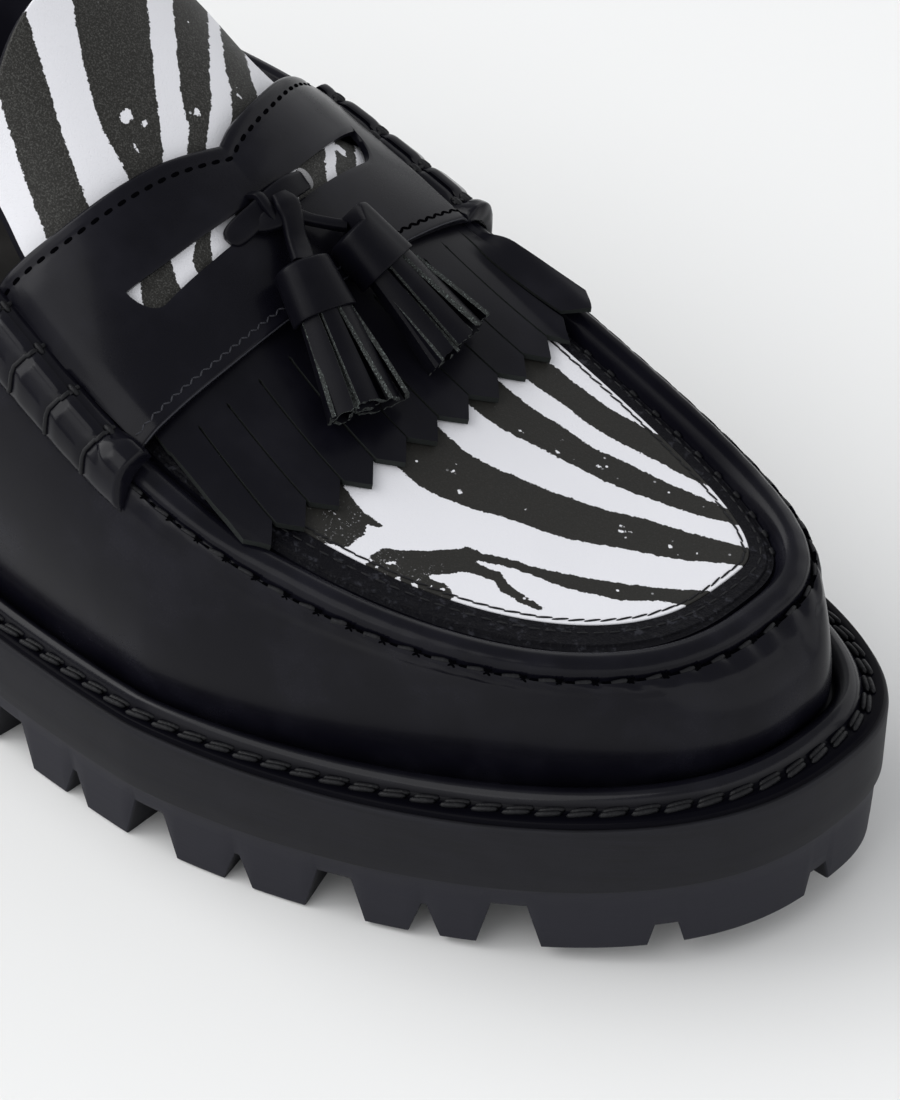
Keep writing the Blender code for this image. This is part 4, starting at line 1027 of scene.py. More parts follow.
class LOAFER_OT_upper(bpy.types.Operator):
    """Hollow leather shell: vamp and quarters, sewn seam with its puckers, raised roll, groove and band"""

    bl_idname = "loafer.upper"
    bl_label = "Upper"

    def execute(self, context):
        """Wall with relief along its normal, roll by its profile, band and apron by height, then the lining."""
        s = np.arange(0, TURN, 1 / 8)
        rise = 1 - (1 - np.linspace(0, 1, 30)) ** 1.45
        points = wall(s[None, :], rise[:, None])
        out = face_normals_of(points, wrap=True)
        phase, arc = seam_phase(s)
        top = ring("top", s)
        front = ease((top[:, 0] - 34) / 6)
        below = np.linalg.norm(points - points[-1:], axis=-1)
        pinch = hump(((phase + 0.5) % 1 - 0.5) / 0.13)
        toe = hump(arc / TOE_REACH)
        relief = TURNED_EDGE * ease((3.9 - below) / 0.5) * ease(below / 0.8) - PINCH * pinch * hump(below / 1.2)
        relief -= (PUCKER + TOE_PUCKER * toe) * np.cos(2 * math.pi * phase) * hump(below / 4.0)
        relief += TOE_WAVE * toe * np.sin(2 * math.pi * phase / 3 + 1) * hump((below - 5) / 4)
        relief = relief * front
        lean = (0.10 * np.sin(arc / 13.0) + 0.05 * np.sin(arc / 7.3 + 1.3)) * np.sin(math.pi * rise)[:, None]
        points = points + out * (relief + lean * front)[..., None]
        patches = Patches().grid(points, wrap_columns=True)

        f = s[(s >= THROAT) & (s <= TURN - THROAT)]
        keep = np.searchsorted(s, f)
        base = ring("top", f)
        low_front = np.where(f < TIP, 0.62 + 0.38 * ease((base[:, 0] - 56) / 18), 1.0)
        share = roll_share(base[:, 0]) * low_front
        height = through(base[:, 0], TOP_LINE)
        profile = smooth_path(SEAM_ROLL, ROLL_STEPS)
        wave = 0.05 * np.cos(2 * math.pi * phase[keep]) + 0.06 * np.sin(arc[keep] / 9.0)
        rows = [points[-1, keep]]
        for d, h in profile[1:]:
            lift = 0.2 + (h - 0.2) * share + wave * share * hump((d - 1.2) / 1.6)
            rows.append(raise_to(inset_ring("top", f, d), height + lift))
        # Band between roll and print: a furrow beside the roll, then a fold up to the print's edge
        insets = [np.linspace(7.2, 9.2, 16), np.linspace(9.5, 13.9, 34), np.linspace(14.5, BAND_INSET, 4)]
        insets = np.concatenate(insets)
        for d in insets:
            xy = inset_ring("top", f, d)
            fold = 0.36 * ease((d - 8.1) / 0.3) * ease((print_edge(f) + 0.15 - d) / 0.35)
            fold = fold - 0.12 * hump((d - 7.4) / 0.35)
            rows.append(raise_to(xy, apron_height(xy[:, 0], xy[:, 1]) + fold * share))
        # Painted shade on the roll's inner side: a darker shader without gloss is mixed in, fading out towards the
        # toe
        inner_side = (f > TIP) * (1 - ease((base[:, 0] - 98) / 20))
        painted_shade = ease((np.append(profile[:, 0], insets[0])[:, None] - 1.6) / 1.0) * inner_side
        patches.grid(np.array(rows[:ROLL_STEPS + 1]), 0, painted_shade).grid(np.array(rows[ROLL_STEPS:]), 2)
        left = rows[-1][: len(f) // 2 + 1]
        right = rows[-1][len(f) // 2:][::-1]
        w = np.linspace(0, 1, 25)[:, None, None]
        apron = left * (1 - w) + right * w
        apron[..., 2] = apron_height(apron[..., 0], apron[..., 1])
        apron[0], apron[-1] = left, right
        patches.grid(apron)
        outer = np.array(rows)

        # Lining: the wall moved inwards, then the apron lowered by the leather's thickness
        steps = np.linspace(0, 1, 14)
        plain = wall(s[None, :], steps[:, None])
        lining = plain - face_normals_of(plain, wrap=True) * WALL_THICK * 0.9
        patches.grid(lining, 1, wrap_columns=True, flip=True)
        patches.grid(np.stack([points[0], lining[0]]), 1, wrap_columns=True)
        collar = np.concatenate([np.arange(keep[-1], len(s)), np.arange(0, keep[0] + 1)])
        patches.grid(np.stack([points[-1, collar], lining[-1, collar]]), 1)
        deep = np.linspace(3.0, BAND_INSET, len(outer) - 1)[:, None]
        xy = inset_ring("top", np.tile(f, (len(outer) - 1, 1)), deep)
        under = raise_to(xy, apron_height(xy[..., 0], xy[..., 1]) - WALL_THICK)
        inner = np.concatenate([lining[-1:, keep], under])
        patches.grid(inner, 1, flip=True)
        left, right = inner[-1, : len(f) // 2 + 1], inner[-1, len(f) // 2:][::-1]
        ceiling = left * (1 - w) + right * w
        ceiling[..., 2] = apron_height(ceiling[..., 0], ceiling[..., 1]) - WALL_THICK
        patches.grid(ceiling, 1, flip=True)
        for end in (0, -1):
            patches.grid(np.stack([outer[:, end], inner[:, end]]), 1)
        patches.grid(np.stack([apron[:, 0], ceiling[:, 0]]), 1)
        looks = [LOOKS["vamp"], LOOKS["lining"], LOOKS["band"]]
        patches.build("upper_shell", looks, "upper_leather", "upper", sharp=60, attribute="painted_shade")

        # Bound edge round the collar
        back = np.concatenate([np.arange(THROAT, 0, -1 / 6), np.arange(TURN, TURN - THROAT - 0.01, -1 / 6)])
        xy = inset_ring("top", back, 0.9)
        path = raise_to(xy, through(xy[:, 0], TOP_LINE) - 0.1)
        side, up = frames_along(path, np.array([0.0, 0.0, 1.0]))
        binding = Patches().grid(tube(path, side, up, 1.75, 1.5, 12), wrap_columns=True)
        binding.build("collar_binding", [LOOKS["roll"]], "upper_leather", sharp=60)
        return {"FINISHED"}


class LOAFER_OT_seam_stitches(bpy.types.Operator):
    """Heavy thread of the hand-sewn seam, its dots inside the roll and the fine row below the collar"""

    bl_idname = "loafer.seam_stitches"
    bl_label = "Seam stitches"

    def execute(self, context):
        """Rows of stitches at the turns of the seam's phase, then an even row under the collar."""
        pitch = context.scene.loafer_sizes.seam_pitch / MM
        first = 22.9
        s = np.arange(first, TURN - first, 0.02)
        phase, _ = seam_phase(s)
        turns = np.arange(math.ceil(phase[0]), math.floor(phase[-1]) + 1)
        rng = np.random.default_rng(5)

        def row(shift, inset, lift, length, width, height, slant, blunt=8, first_turn=-99):
            """A stitch at each turn of the seam: on a line inside it, turned by its slant, each a little uneven."""
            at = np.interp(turns[turns >= first_turn] + shift, phase, s)
            place, ahead = (raise_to(inset_ring("top", u, inset), through(ring("top", u)[:, 0], TOP_LINE) + lift)
                            for u in (at, at + 0.1))
            along = unit(ahead - place)
            inwards = np.append(inset_ring("top", at, 1.0) - ring("top", at), np.zeros((len(at), 1)), 1)
            up = unit(np.array([0.0, 0.0, 0.75]) - inwards)
            side = np.cross(up, along)
            uneven = rng.uniform(-1, 1, (len(at), 3))
            along = unit(along + side * (slant + 0.06 * uneven[:, :1]))
            place, length = place + up * 0.06 * uneven[:, 1:2], length * (1 + 0.05 * uneven[:, 2])
            return stitch_grid(place, along, up, length, width, height, blunt)

        # Painted shade in the seam's gaps and crossings, drawn near-black, then the ties between them and the dots
        # inside the roll
        gaps = Patches().add(*row(0.42, 0.5, -0.35, pitch * 0.4, 0.55, 0.5, slant=-0.06))
        for slant in (0.9, -0.9):
            gaps.add(*row(0.04, 0.3, -0.05, 1.7, 0.5, 0.4, slant, blunt=4))
        gaps.build("seam_gaps_painted_shade", [LOOKS["hole"]], "upper_leather")
        ties = Patches().add(*row(0.72, 0.4, -0.1, pitch * 0.5, 1.0, 0.75, slant=0.14, blunt=3))
        ties.add(*row(0.5, 7.3, 0.4, 1.6, 1.0, 0.9, slant=0.6, first_turn=3))
        ties.build("seam_ties", [LOOKS["thread"]], "upper_leather")

        back = np.concatenate([np.arange(THROAT - 1.5, 0, -0.1), np.arange(TURN, TURN - THROAT + 1.5, -0.1)])
        face = wall(back, np.full_like(back, 0.94))
        place, along = spaced(face, 3.0)
        out = np.stack([along[:, 1], -along[:, 0], np.full(len(along), 0.3)], 1)
        middle = np.array([-40.0, CENTRE, 0.0])
        out *= np.sign(((place - middle) * out).sum(1))[:, None]
        thread = Patches().add(*stitch_grid(place, along, unit(out), 2.3, 0.6, 0.5))
        thread.build("collar_thread", [LOOKS["thread"]], "upper_leather")
        return {"FINISHED"}


def print_edge(s):
    """Inset of the printed panel's edge from the seam: a smooth curve, wider on the outer side."""
    return through(s, PRINT_INSET)


class LOAFER_OT_print_panels(bpy.types.Operator):
    """Zebra-printed apron and tongue with the fine stitch line inside the apron's edge"""

    bl_idname = "loafer.print_panels"
    bl_label = "Print panels"

    def execute(self, context):
        """Apron from its rounded edge to its spine, thread along the edge, then the tongue."""
        first = 22.2
        s = np.arange(first, TURN - first + 0.001, 1 / 12)
        border = inset_ring("top", s, print_edge(s))
        x = np.minimum(border[:, 0], 97.0)
        centre = centre_line("top", x)
        spine = np.stack([x, centre + 0.5 * (half_width("top", "med", x) - half_width("top", "lat", x))], 1)
        reach = np.linalg.norm(spine - border, axis=1)
        edge = np.array([0.0, 0.03, 0.09, 0.17, 0.25, 0.9])
        inner = np.linspace(0, 1, 46)[1:, None]
        shares = np.concatenate([edge[:, None] / reach, edge[-1] / reach + (1 - edge[-1] / reach) * inner])
        xy = border + (spine - border) * shares[..., None]
        depth = shares * reach
        thick = 0.32 * np.sqrt(np.clip(1 - np.clip(1 - depth / 0.25, 0, 1) ** 2, 0, 1)) + 0.12
        furrow = -0.10 * hump((depth - 0.9) / 0.3)
        height = apron_height(xy[..., 0], xy[..., 1])
        top = raise_to(xy, height + thick + furrow)
        under = np.s_[len(edge) - 1::5]
        bottom = np.concatenate([top[:1], raise_to(xy[under], height[under] + 0.06)])
        field = stripe_field(xy[..., 0], xy[..., 1], APRON_STRIPES, APRON_ISLANDS)
        panel = Patches().grid(top, 0, field).grid(bottom, 0, np.concatenate([field[:1], field[under]]), flip=True)
        panel.build("apron_panel", [LOOKS["apron_print"]], "upper_leather", sharp=50, attribute="print")

        fine = np.arange(24.5, TURN - 24.5, 0.05)
        xy = inset_ring("top", fine, print_edge(fine) + 0.9)
        path = raise_to(xy, apron_height(xy[:, 0], xy[:, 1]) + 0.42)
        pitch = context.scene.loafer_sizes.fine_pitch / MM
        place, along = spaced(path, pitch)
        up = np.tile([0.0, 0.0, 1.0], (len(place), 1))
        uneven = np.random.default_rng(9).uniform(-1, 1, (len(place), 1))
        along = unit(along + np.cross(up, along) * (0.12 + 0.08 * uneven))
        thread = Patches().add(*stitch_grid(place, along, up, pitch * 1.1, 0.42, 0.3))
        thread.build("apron_thread", [LOOKS["thread"]], "upper_leather")

        xy = inset_ring("top", fine, print_edge(fine) - 1.9)
        place, along = spaced(raise_to(xy, apron_height(xy[:, 0], xy[:, 1]) + 0.36), pitch)
        up = np.tile([0.0, 0.0, 1.0], (len(place), 1))
        thread = Patches().add(*stitch_grid(place, along, up, pitch * 0.7, 0.42, 0.3))
        thread.build("band_thread", [LOOKS["thread"]], "upper_leather")

        # Tongue: the apron's surface with its sides let down less towards the free end
        x = np.linspace(34.0, TONGUE_END, 120)
        w = np.sin(np.linspace(-1, 1, 81) * math.pi / 2)
        half = through(x, [row[:2] for row in TONGUE]) * rounding((x - TONGUE_END) / TONGUE_ROUND, 2.0, 2.6)
        share = through(x, [(row[0], row[2]) for row in TONGUE])
        gx, gy = np.broadcast_arrays(x[:, None], CENTRE + half[:, None] * w)
        fall = share[:, None] * apron_drop(gx, np.minimum(apron_share(gx, gy), 1.0))
        height = through(gx, SPINE) - fall
        middle = np.stack([gx, gy, height], -1)
        up = np.stack(np.broadcast_arrays(0.62, 0.0, 0.78), -1)
        border = np.clip((1 - np.abs(w)) * half[:, None] / 1.0, 0, 1) * np.clip((gx - TONGUE_END) / 1.0, 0, 1)
        held = 2.5 * ease((gx - 12.5) / 5.0) * ease((33.0 - gx) / 5.0)
        lift = (0.3 + 0.6 * np.sqrt(np.clip(1 - (1 - border) ** 2, 0, 1)) + held)[..., None]
        top, bottom = middle + up * lift, middle - up * 1.3
        field = stripe_field(gx, gy, TONGUE_STRIPES, TONGUE_ISLANDS)
        tongue = Patches().grid(top, 0, field).grid(bottom, 1, None, flip=True)
        for cut in (np.s_[0, :], np.s_[-1, :], np.s_[:, 0], np.s_[:, -1]):
            tongue.grid(np.stack([top[cut], bottom[cut]]), 1)
        looks = [LOOKS["tongue_print"], LOOKS["lining"]]
        tongue.build("tongue_panel", looks, "upper_leather", sharp=50, attribute="print")
        return {"FINISHED"}


def strap_lines(away):
    """Length of the strap's rear edge, slot edges and front edge at a distance from its middle. The slot's front edge
    curves round to meet its rear edge by a quarter circle at each end."""
    near = through(np.minimum(away, STRAP_NOTCH), STRAP_REAR)
    rear = np.where(away < STRAP_NOTCH, near, through(np.maximum(away, STRAP_NOTCH), STRAP_REAR_INNER))
    back, ahead = through(away, SLOT_REAR), through(away, SLOT_FRONT)
    near_end = np.clip(1 - np.minimum(away - SLOT_START, SLOT_END - away) / SLOT_ROUND, 0, 1)
    return rear, back, back + (ahead - back) * np.sqrt(1 - near_end ** 2), through(away, STRAP_FRONT)


def strap_side(away, x):
    """Side place on the strap: straight over the slot, then spread to end beside the rolls."""
    outer = CENTRE - OVER_Y + np.where(away < 0, STRAP_END_INSET - half_width("top", "lat", x),
                                       half_width("top", "med", x) - STRAP_END_INSET)
    past = np.clip((np.abs(away) - SLOT_HALF) / (STRAP_NOMINAL - SLOT_HALF), 0, 1)
    held = np.clip(away, -SLOT_HALF, SLOT_HALF)
    return OVER_Y + held + (outer - held) * past


def strap_top(away, from_rear, from_front):
    """Offset of the strap's upper face: a folded lip behind, a thin edge in front, ends that tuck under the rolls."""
    # Both edges rounded by quarter circles
    edge = np.clip(from_front / 0.6, 0, 1)
    lip = np.clip(from_rear / 0.8, 0, 1)
    offset = STRAP_HIGH - 0.8 * (1 - np.sqrt(1 - (1 - lip) ** 2)) - 0.6 * (1 - np.sqrt(1 - (1 - edge) ** 2))
    # Ridge of the fold, furrows of both stitch lines, then the tucked ends
    offset = offset + 0.10 * hump((from_rear - 1.2) / 0.8) - 0.14 * hump((from_rear - 2.2) / 0.5)
    offset = offset - 0.10 * hump((from_front - 2.0) / 0.5) - 1.3 * ease((np.abs(away) - 38.0) / 5.0)
    # A fall towards the rear and a slow wave along the middle
    offset = offset - 0.7 * (1 - ease(from_rear / 7.0))
    return offset + 0.2 * np.sin(away / 9.0 + 0.6) * hump((from_rear - 16) / 9)


class LOAFER_OT_strap(bpy.types.Operator):
    """Saddle strap with its slot, folded rear lip, front edge and their stitches"""

    bl_idname = "loafer.strap"
    bl_label = "Saddle strap"

    def execute(self, context):
        """Two sheets behind and before the slot, over the cover by the strap's offset, then its threads and a painted
        highlight along its front edge.
        """
        sizes = context.scene.loafer_sizes
        thick, fine_pitch = sizes.strap_thick / MM, sizes.fine_pitch / MM
        bend = 1 - np.cos(np.linspace(0, math.pi / 2, 20))
        away = np.unique(np.concatenate([np.linspace(-STRAP_NOMINAL, STRAP_NOMINAL, 140), [STRAP_NOTCH],
                                         SLOT_START + SLOT_ROUND * bend, SLOT_END - SLOT_ROUND * bend]))
        rear, slot_rear, slot_front, front = strap_lines(away)
        near_edge = 0.9 * (1 - np.cos(np.linspace(0, 1, 12)[:, None] * math.pi / 2))
        even = np.linspace(0, 1, 24)[1:, None]

        def shares(long, lip):
            """Shares of the way across: by a quarter of a cosine over most of the lip, then even."""
            held = near_edge[-1] * lip / long
            return np.concatenate([near_edge * lip / long, even * (1 - held) + held])

        patches = Patches()
        for start, end, behind in ((rear, slot_rear, True), (slot_front, front, False)):
            long = end - start
            share = shares(long, LIP_REAR) if behind else 1 - shares(long, LIP_FRONT)[::-1]
            x = start + long * share
            y = strap_side(away, x)
            beside = end - x if behind else x - start
            slot_near = np.where((away > SLOT_START) & (away < SLOT_END), beside, 9.0)
            soften = -0.15 * hump(slot_near / 0.3)
            offset = strap_top(away, x - rear, front - x) + soften
            low = STRAP_HIGH - thick - 1.6 * ease((14.0 - x) / 4)
            patches.slab(over(x, y, offset), over(x, y, low))
        patches.build("saddle_strap_skin", [LOOKS["strap"]], "strap_leather", "saddle_strap", sharp=55)

        fine = np.linspace(-STRAP_NOMINAL + 1.5, STRAP_NOMINAL - 1.5, 700)
        rear, _, _, front = strap_lines(fine)
        # The rear row's stitch holes are painted shade, drawn near-black
        rows = (("strap_holes", "hole", rear + 2.2, fine_pitch * 1.06, 0.1, 0.0, (1.7, 0.85, 0.35)),
                ("strap_thread", "paler_thread_and_painted_highlight", front - 2.0, 1.15, 0.0, 0.6, (1.3, 0.34, 0.34)))
        for name, look, x, pitch, slant, zig, size in rows:
            y = strap_side(fine, x)
            path = over(x, y, strap_top(fine, x - rear, front - x))
            place, along = spaced(path, pitch)
            up = np.tile([0.45, 0.0, 0.89], (len(place), 1))
            turn = slant + zig * np.where(np.arange(len(place)) % 2, 1.0, -1.0)[:, None]
            along = unit(along + np.cross(up, along) * turn)
            # Beyond this side the zig-zag lies in shade, painted with the near-black hole look
            inner = (place[:, 1] > ZIG_DARK_FROM) & (zig > 0)
            patches = Patches().add(*stitch_grid(place[~inner], along[~inner], up[~inner], *size))
            if inner.any():
                patches.add(*stitch_grid(place[inner], along[inner], up[inner], 1.5, 0.6, 0.4), 1)
            patches.build(name, [LOOKS[look], LOOKS["hole"]], "strap_leather")
        # Painted highlight: a thin pale tube along the front edge stands for the light its cut edge catches
        edge = front - 0.12
        path = over(edge, strap_side(fine, edge), strap_top(fine, edge - rear, front - edge))
        side, up = frames_along(path, np.array([0.45, 0.0, 0.89]))
        line = Patches().grid(tube(path, side, up, 0.16, 0.14, 6), wrap_columns=True)
        line.build("strap_edge_painted_highlight", [LOOKS["paler_thread_and_painted_highlight"]], "strap_leather")
        return {"FINISHED"}


def fringe_side(x, share):
    """Side of a line of the fringe: straight from the place where its slit starts to its end at the tips."""
    t = (x - FRINGE_FROM) / (FRINGE_TO - FRINGE_FROM)
    return through(share, FRINGE_START) * (1 - t) + through(share, FRINGE_ENDS) * t


def fringe_over(x, y, offset):
    """A point over the apron as far as the fringe goes: the cover, climbing less over the roll of the outer side."""

    def lie(x, y):
        """The cover with less of its ramp on the outer side."""
        flat = cover(x, y)
        plain = apron_height(flat[..., 0], flat[..., 1])
        flat[..., 2] = plain + (flat[..., 2] - plain) * np.where(flat[..., 1] < OVER_Y, 0.22, 1.0)
        return flat

    up = unit(np.cross(lie(x + 0.5, y) - lie(x - 0.5, y), lie(x, y + 0.5) - lie(x, y - 0.5)))
    return lie(x, y) + up * np.asarray(offset)[..., None]


class LOAFER_OT_fringe(bpy.types.Operator):
    """Kiltie fringe: a flap under the strap cut into pointed strips with raw edges"""

    bl_idname = "loafer.fringe"
    bl_label = "Kiltie fringe"

    def execute(self, context):
        """Strips between straight lines, parted at the slits, each with a pointed tip and a little lift."""
        thick = context.scene.loafer_sizes.fringe_thick / MM
        pitch = 2.0 / FRINGE_STRIPS
        t = [np.linspace(0, 0.26, 8), np.linspace(0.26, 0.36, 12)[1:], np.linspace(0.36, 1, 26)[1:]]
        t = np.concatenate(t)[:, None]
        rng = np.random.default_rng(11)
        patches = Patches()
        for strip in range(FRINGE_STRIPS):
            middle = -1 + (strip + 0.5) * pitch
            a = np.linspace(-1, 1, 11)
            tip = FRINGE_TIP - FRINGE_TIP_DROP * middle ** 2 - TIP_CHAMFER * np.abs(a)
            x = FRINGE_REAR + (tip - FRINGE_REAR) * t
            cut = through(middle + a * pitch / 2, FRINGE_CUT)
            open_by = np.clip((x - cut) / 0.6, 0, 1) + 0.55 * hump((x - cut - 0.5) / 0.45)
            half = (pitch - SLIT / STRAP_NOMINAL * open_by) / 2
            y = fringe_side(x, middle + a * half)
            free = np.clip((x - cut) / (FRINGE_TIP - cut), 0, 1)
            lift, tilt = 0.10 * rng.uniform(-1, 1), 0.10 * rng.uniform(-1, 1)
            curl = free * (0.7 - 0.5 * a) if strip == FRINGE_STRIPS - 1 else 0.0
            offset = 2.6 - 0.6 * free + free * (lift + tilt * a) + curl
            # Strip walls take the raw edge look, partly a painted highlight
            patches.slab(fringe_over(x, y, offset), fringe_over(x, y, offset - thick), 0, 1)
        looks = [LOOKS["fringe"], LOOKS["fringe_cut_edge_and_painted_highlight"]]
        patches.build("kiltie_fringe_strips", looks, "fringe_leather", "kiltie_fringe", sharp=45, merge=0.001)
        return {"FINISHED"}


class LOAFER_OT_end_rolls(bpy.types.Operator):
    """Leather rolls at the strap ends, pinched by thread wraps"""

    bl_idname = "loafer.end_rolls"
    bl_label = "End rolls"

    def execute(self, context):
        """A dome over the seam roll, pinched by bell curves at the wraps, then a thread along each wrap."""
        wraps = np.array(ROLL_WRAPS)
        for side_name in ("lateral", "medial"):
            x = np.linspace(*ROLL_ENDS[side_name], 120)
            seat, ball = OUTLINES["top"]["seat"], OUTLINES["top"]["ball"]
            station = SEAT_AT + (x - seat) / (ball - seat) * (BALL_AT - SEAT_AT)
            s = station if side_name == "lateral" else TURN - station
            sign = 1 if side_name == "lateral" else -1
            squeeze, tall, knots = ROLL_SHAPE[side_name]

            def base(s):
                """Lines of the surface under a roll: two up the wall, three over the seam roll."""
                share = roll_share(ring("top", s)[:, 0])
                z = through(ring("top", s)[:, 0], TOP_LINE)
                lines = [wall(s, np.full_like(s, 0.90)), wall(s, np.full_like(s, 1.0))]
                for d, h, more in ROLL_BED:
                    height = z + 0.2 + (h - 0.2) * share + more * (1 - 0.8 * share)
                    lines.append(raise_to(inset_ring("top", s, d), height))
                return np.array(lines)

            frames, ahead = base(s), base(s + 0.1 * sign)
            place = np.linspace(0, 4, 25)
            lower = np.clip(np.floor(place).astype(int), 0, 3)
            part = (place - lower)[:, None, None]
            inner = frames[lower] * (1 - part) + frames[lower + 1] * part
            along = unit(ahead[1] - frames[1])
            out = unit(np.cross(np.gradient(inner, axis=0), np.broadcast_to(along, inner.shape)))
            out = out * np.sign(out[len(place) // 2, len(x) // 2, 2])
            swell = 1 - squeeze * hump((x[:, None] - wraps) / 1.3).max(1)
            ends = np.sqrt(np.clip(1 - np.clip(1 - np.minimum(x - x[0], x[-1] - x) / 1.1, 0, 1) ** 2, 0.15, 1))
            dome = np.sin(np.clip(place / 4, 0, 1) * math.pi) ** 0.55
            thick = (0.5 + tall * dome[:, None]) * swell * ends
            low, high = inner + out * BEEF_GAP, inner + out * (BEEF_GAP + thick)[..., None]
            section = np.concatenate([low, high[::-1]])
            patches = Patches().grid(section, wrap_rows=True)
            for end in (0, -1):
                patches.grid(np.stack([low[:, end], high[:, end]]))
            name = "beef_roll_" + side_name
            patches.build(name + "_skin", [LOOKS["roll"]], "roll_leather", name, sharp=50)

            threads = Patches()
            for wrap in wraps:
                k = np.abs(x - wrap - 0.5 * np.linspace(-1, 1, len(place))[:, None]).argmin(1)[1:-1]
                row = np.arange(1, len(place) - 1)
                path = high[row, k] + out[row, k] * 0.1
                aside, up = frames_along(path, out[row, k])
                threads.grid(tube(path, aside, up, 0.42, 0.36, 8), wrap_columns=True)
                at = np.array(knots)
                threads.add(*stitch_grid(path[at], along[k[at]], out[row[at], k[at]], 2.6, 1.2, 1.3))
            threads.build(name + "_thread", [LOOKS["thread"]], "roll_leather")
        return {"FINISHED"}


class LOAFER_OT_tassels(bpy.types.Operator):
    """Tassels: bare caps over cut strips, and the knotted thong that carries them"""

    bl_idname = "loafer.tassels"
    bl_label = "Tassels"

    def execute(self, context):
        """Caps as ovals carried along an axis, strips in rings inside them, then the thong's tubes."""
        rng = np.random.default_rng(21)
        for side_name, (start, finish) in TASSELS.items():
            top, end = over(*start), over(*finish)
            axis = unit(end - top)
            middle = (np.array(start) + np.array(finish)) / 2
            up = cover_normal(middle[0], middle[1])
            up = unit(up - axis * (up @ axis))
            aside = np.cross(up, axis)
            turn = np.linspace(0, 2 * math.pi, 40, endpoint=False)
            c, s = (np.sign(v) * np.abs(v) ** 0.75 for v in (np.cos(turn), np.sin(turn)))
            share, first, run, slant = CAP_LAPS[side_name]
            flap = share * ease((turn - first) / run) * ease((5.6 - turn) / 1.2)
            lap = 1 + 0.13 * flap
            sections = smooth_path(CAP_SECTIONS, 30)
            sections = np.concatenate([[[0.0, 0.02, 0.02]], sections, [[0.34, 0.02, 0.02]]])
            along, wide, high = sections.T
            along = along[:, None] + slant * (flap - 0.5) * np.clip(1 - along / 0.2, 0, 1)[:, None]
            cap = top + (end - top) * along[..., None]
            cap = cap + aside * (wide[:, None] * c * lap)[..., None] + up * (high[:, None] * s * lap)[..., None]
            name = "tassel_" + side_name
            patches = Patches().grid(cap, wrap_columns=True)

            # Strips in two rings: angle round the oval and share of its size, each widening and twisting to its end
            strips = [(2 * math.pi * (k + first) / count, size)
                      for count, first, size in STRIP_RINGS for k in range(count)]
            for number, (angle, size) in enumerate(strips):
                angle += 0.10 * rng.uniform(-1, 1)
                t = np.linspace(0.30, 1.0 + 0.015 * rng.uniform(-1, 1), 24)
                grow = (t - 0.30) / 0.70
                wide = (4.2 + 3.0 * grow + 0.25 * np.sin(grow * 3 + number)) * size
                high = (3.1 - 0.35 * grow) * size
                width = 2.7 + (1.5 + 0.4 * rng.uniform(-1, 1)) * grow
                centre = top + (end - top) * t[:, None]
                centre = centre + aside * (np.cos(angle) * wide)[:, None] + up * (np.sin(angle) * high)[:, None]
                away = unit(aside * np.cos(angle) / 5.4 + up * np.sin(angle) / 3.0)
                tangent = np.cross(axis, away)
                twist = (0.25 + 0.3 * rng.uniform(-1, 1)) * grow[:, None]
                across = tangent * np.cos(twist) + away * np.sin(twist)
                out = away * np.cos(twist) - tangent * np.sin(twist)
                a = np.linspace(-1, 1, 7)
                ragged = 0.25 * rng.uniform(-1, 1, 7) * (grow ** 12)[:, None]
                face = centre[:, None] + across[:, None] * (a * width[:, None] / 2)[..., None]
                face = face + axis * ragged[..., None] + out[:, None] * (0.2 * (1 - a ** 2))[:, None]
                half = out[:, None] * STRIP_HALF
                patches.slab(face + half, face - half, 0, 1)
            looks = [LOOKS["tassel"], LOOKS["cut"]]
            patches.build(name + "_skin", looks, "tassel_leather", name, sharp=40, merge=0.001)

        knot = Patches()
        for path in THONGS.values():
            rows = smooth_path(path, 40)
            place = over(rows[:, 0], rows[:, 1], rows[:, 2])
            side, up = frames_along(place, cover_normal(rows[:, 0], rows[:, 1]))
            knot.grid(tube(place, side, up, rows[:, 3], 0.95, 16, 0.55), wrap_columns=True)
        cuff = smooth_path(CUFF, 24)
        place = over(*cuff.T)
        side, up = frames_along(place, cover_normal(cuff[:, 0], cuff[:, 1]))
        knot.grid(tube(place, side, up, 0.9, 0.6, 12, 0.6), wrap_columns=True)
        knot.build("tassel_knot_skin", [LOOKS["tassel"]], "tassel_leather", "tassel_knot", sharp=45)

        # Pale raw end of the thong: a crescent round its top
        x, y, offset, half = THONGS["through_slot"][-1]
        arc = np.radians(np.linspace(-10, 190, 24))
        path = over(x - 0.2 + 0.85 * half * np.cos(arc), y + 0.3, offset + 0.1 + 0.8 * np.sin(arc))
        side, up = frames_along(path, cover_normal(x, y))
        thick = 0.2 + 0.4 * np.sin(np.linspace(0, math.pi, 24))
        face = Patches().grid(tube(path, side, up, thick, thick, 10), wrap_columns=True)
        face.build("thong_cut_face", [LOOKS["pale_cut"]], "tassel_leather", sharp=50)
        return {"FINISHED"}


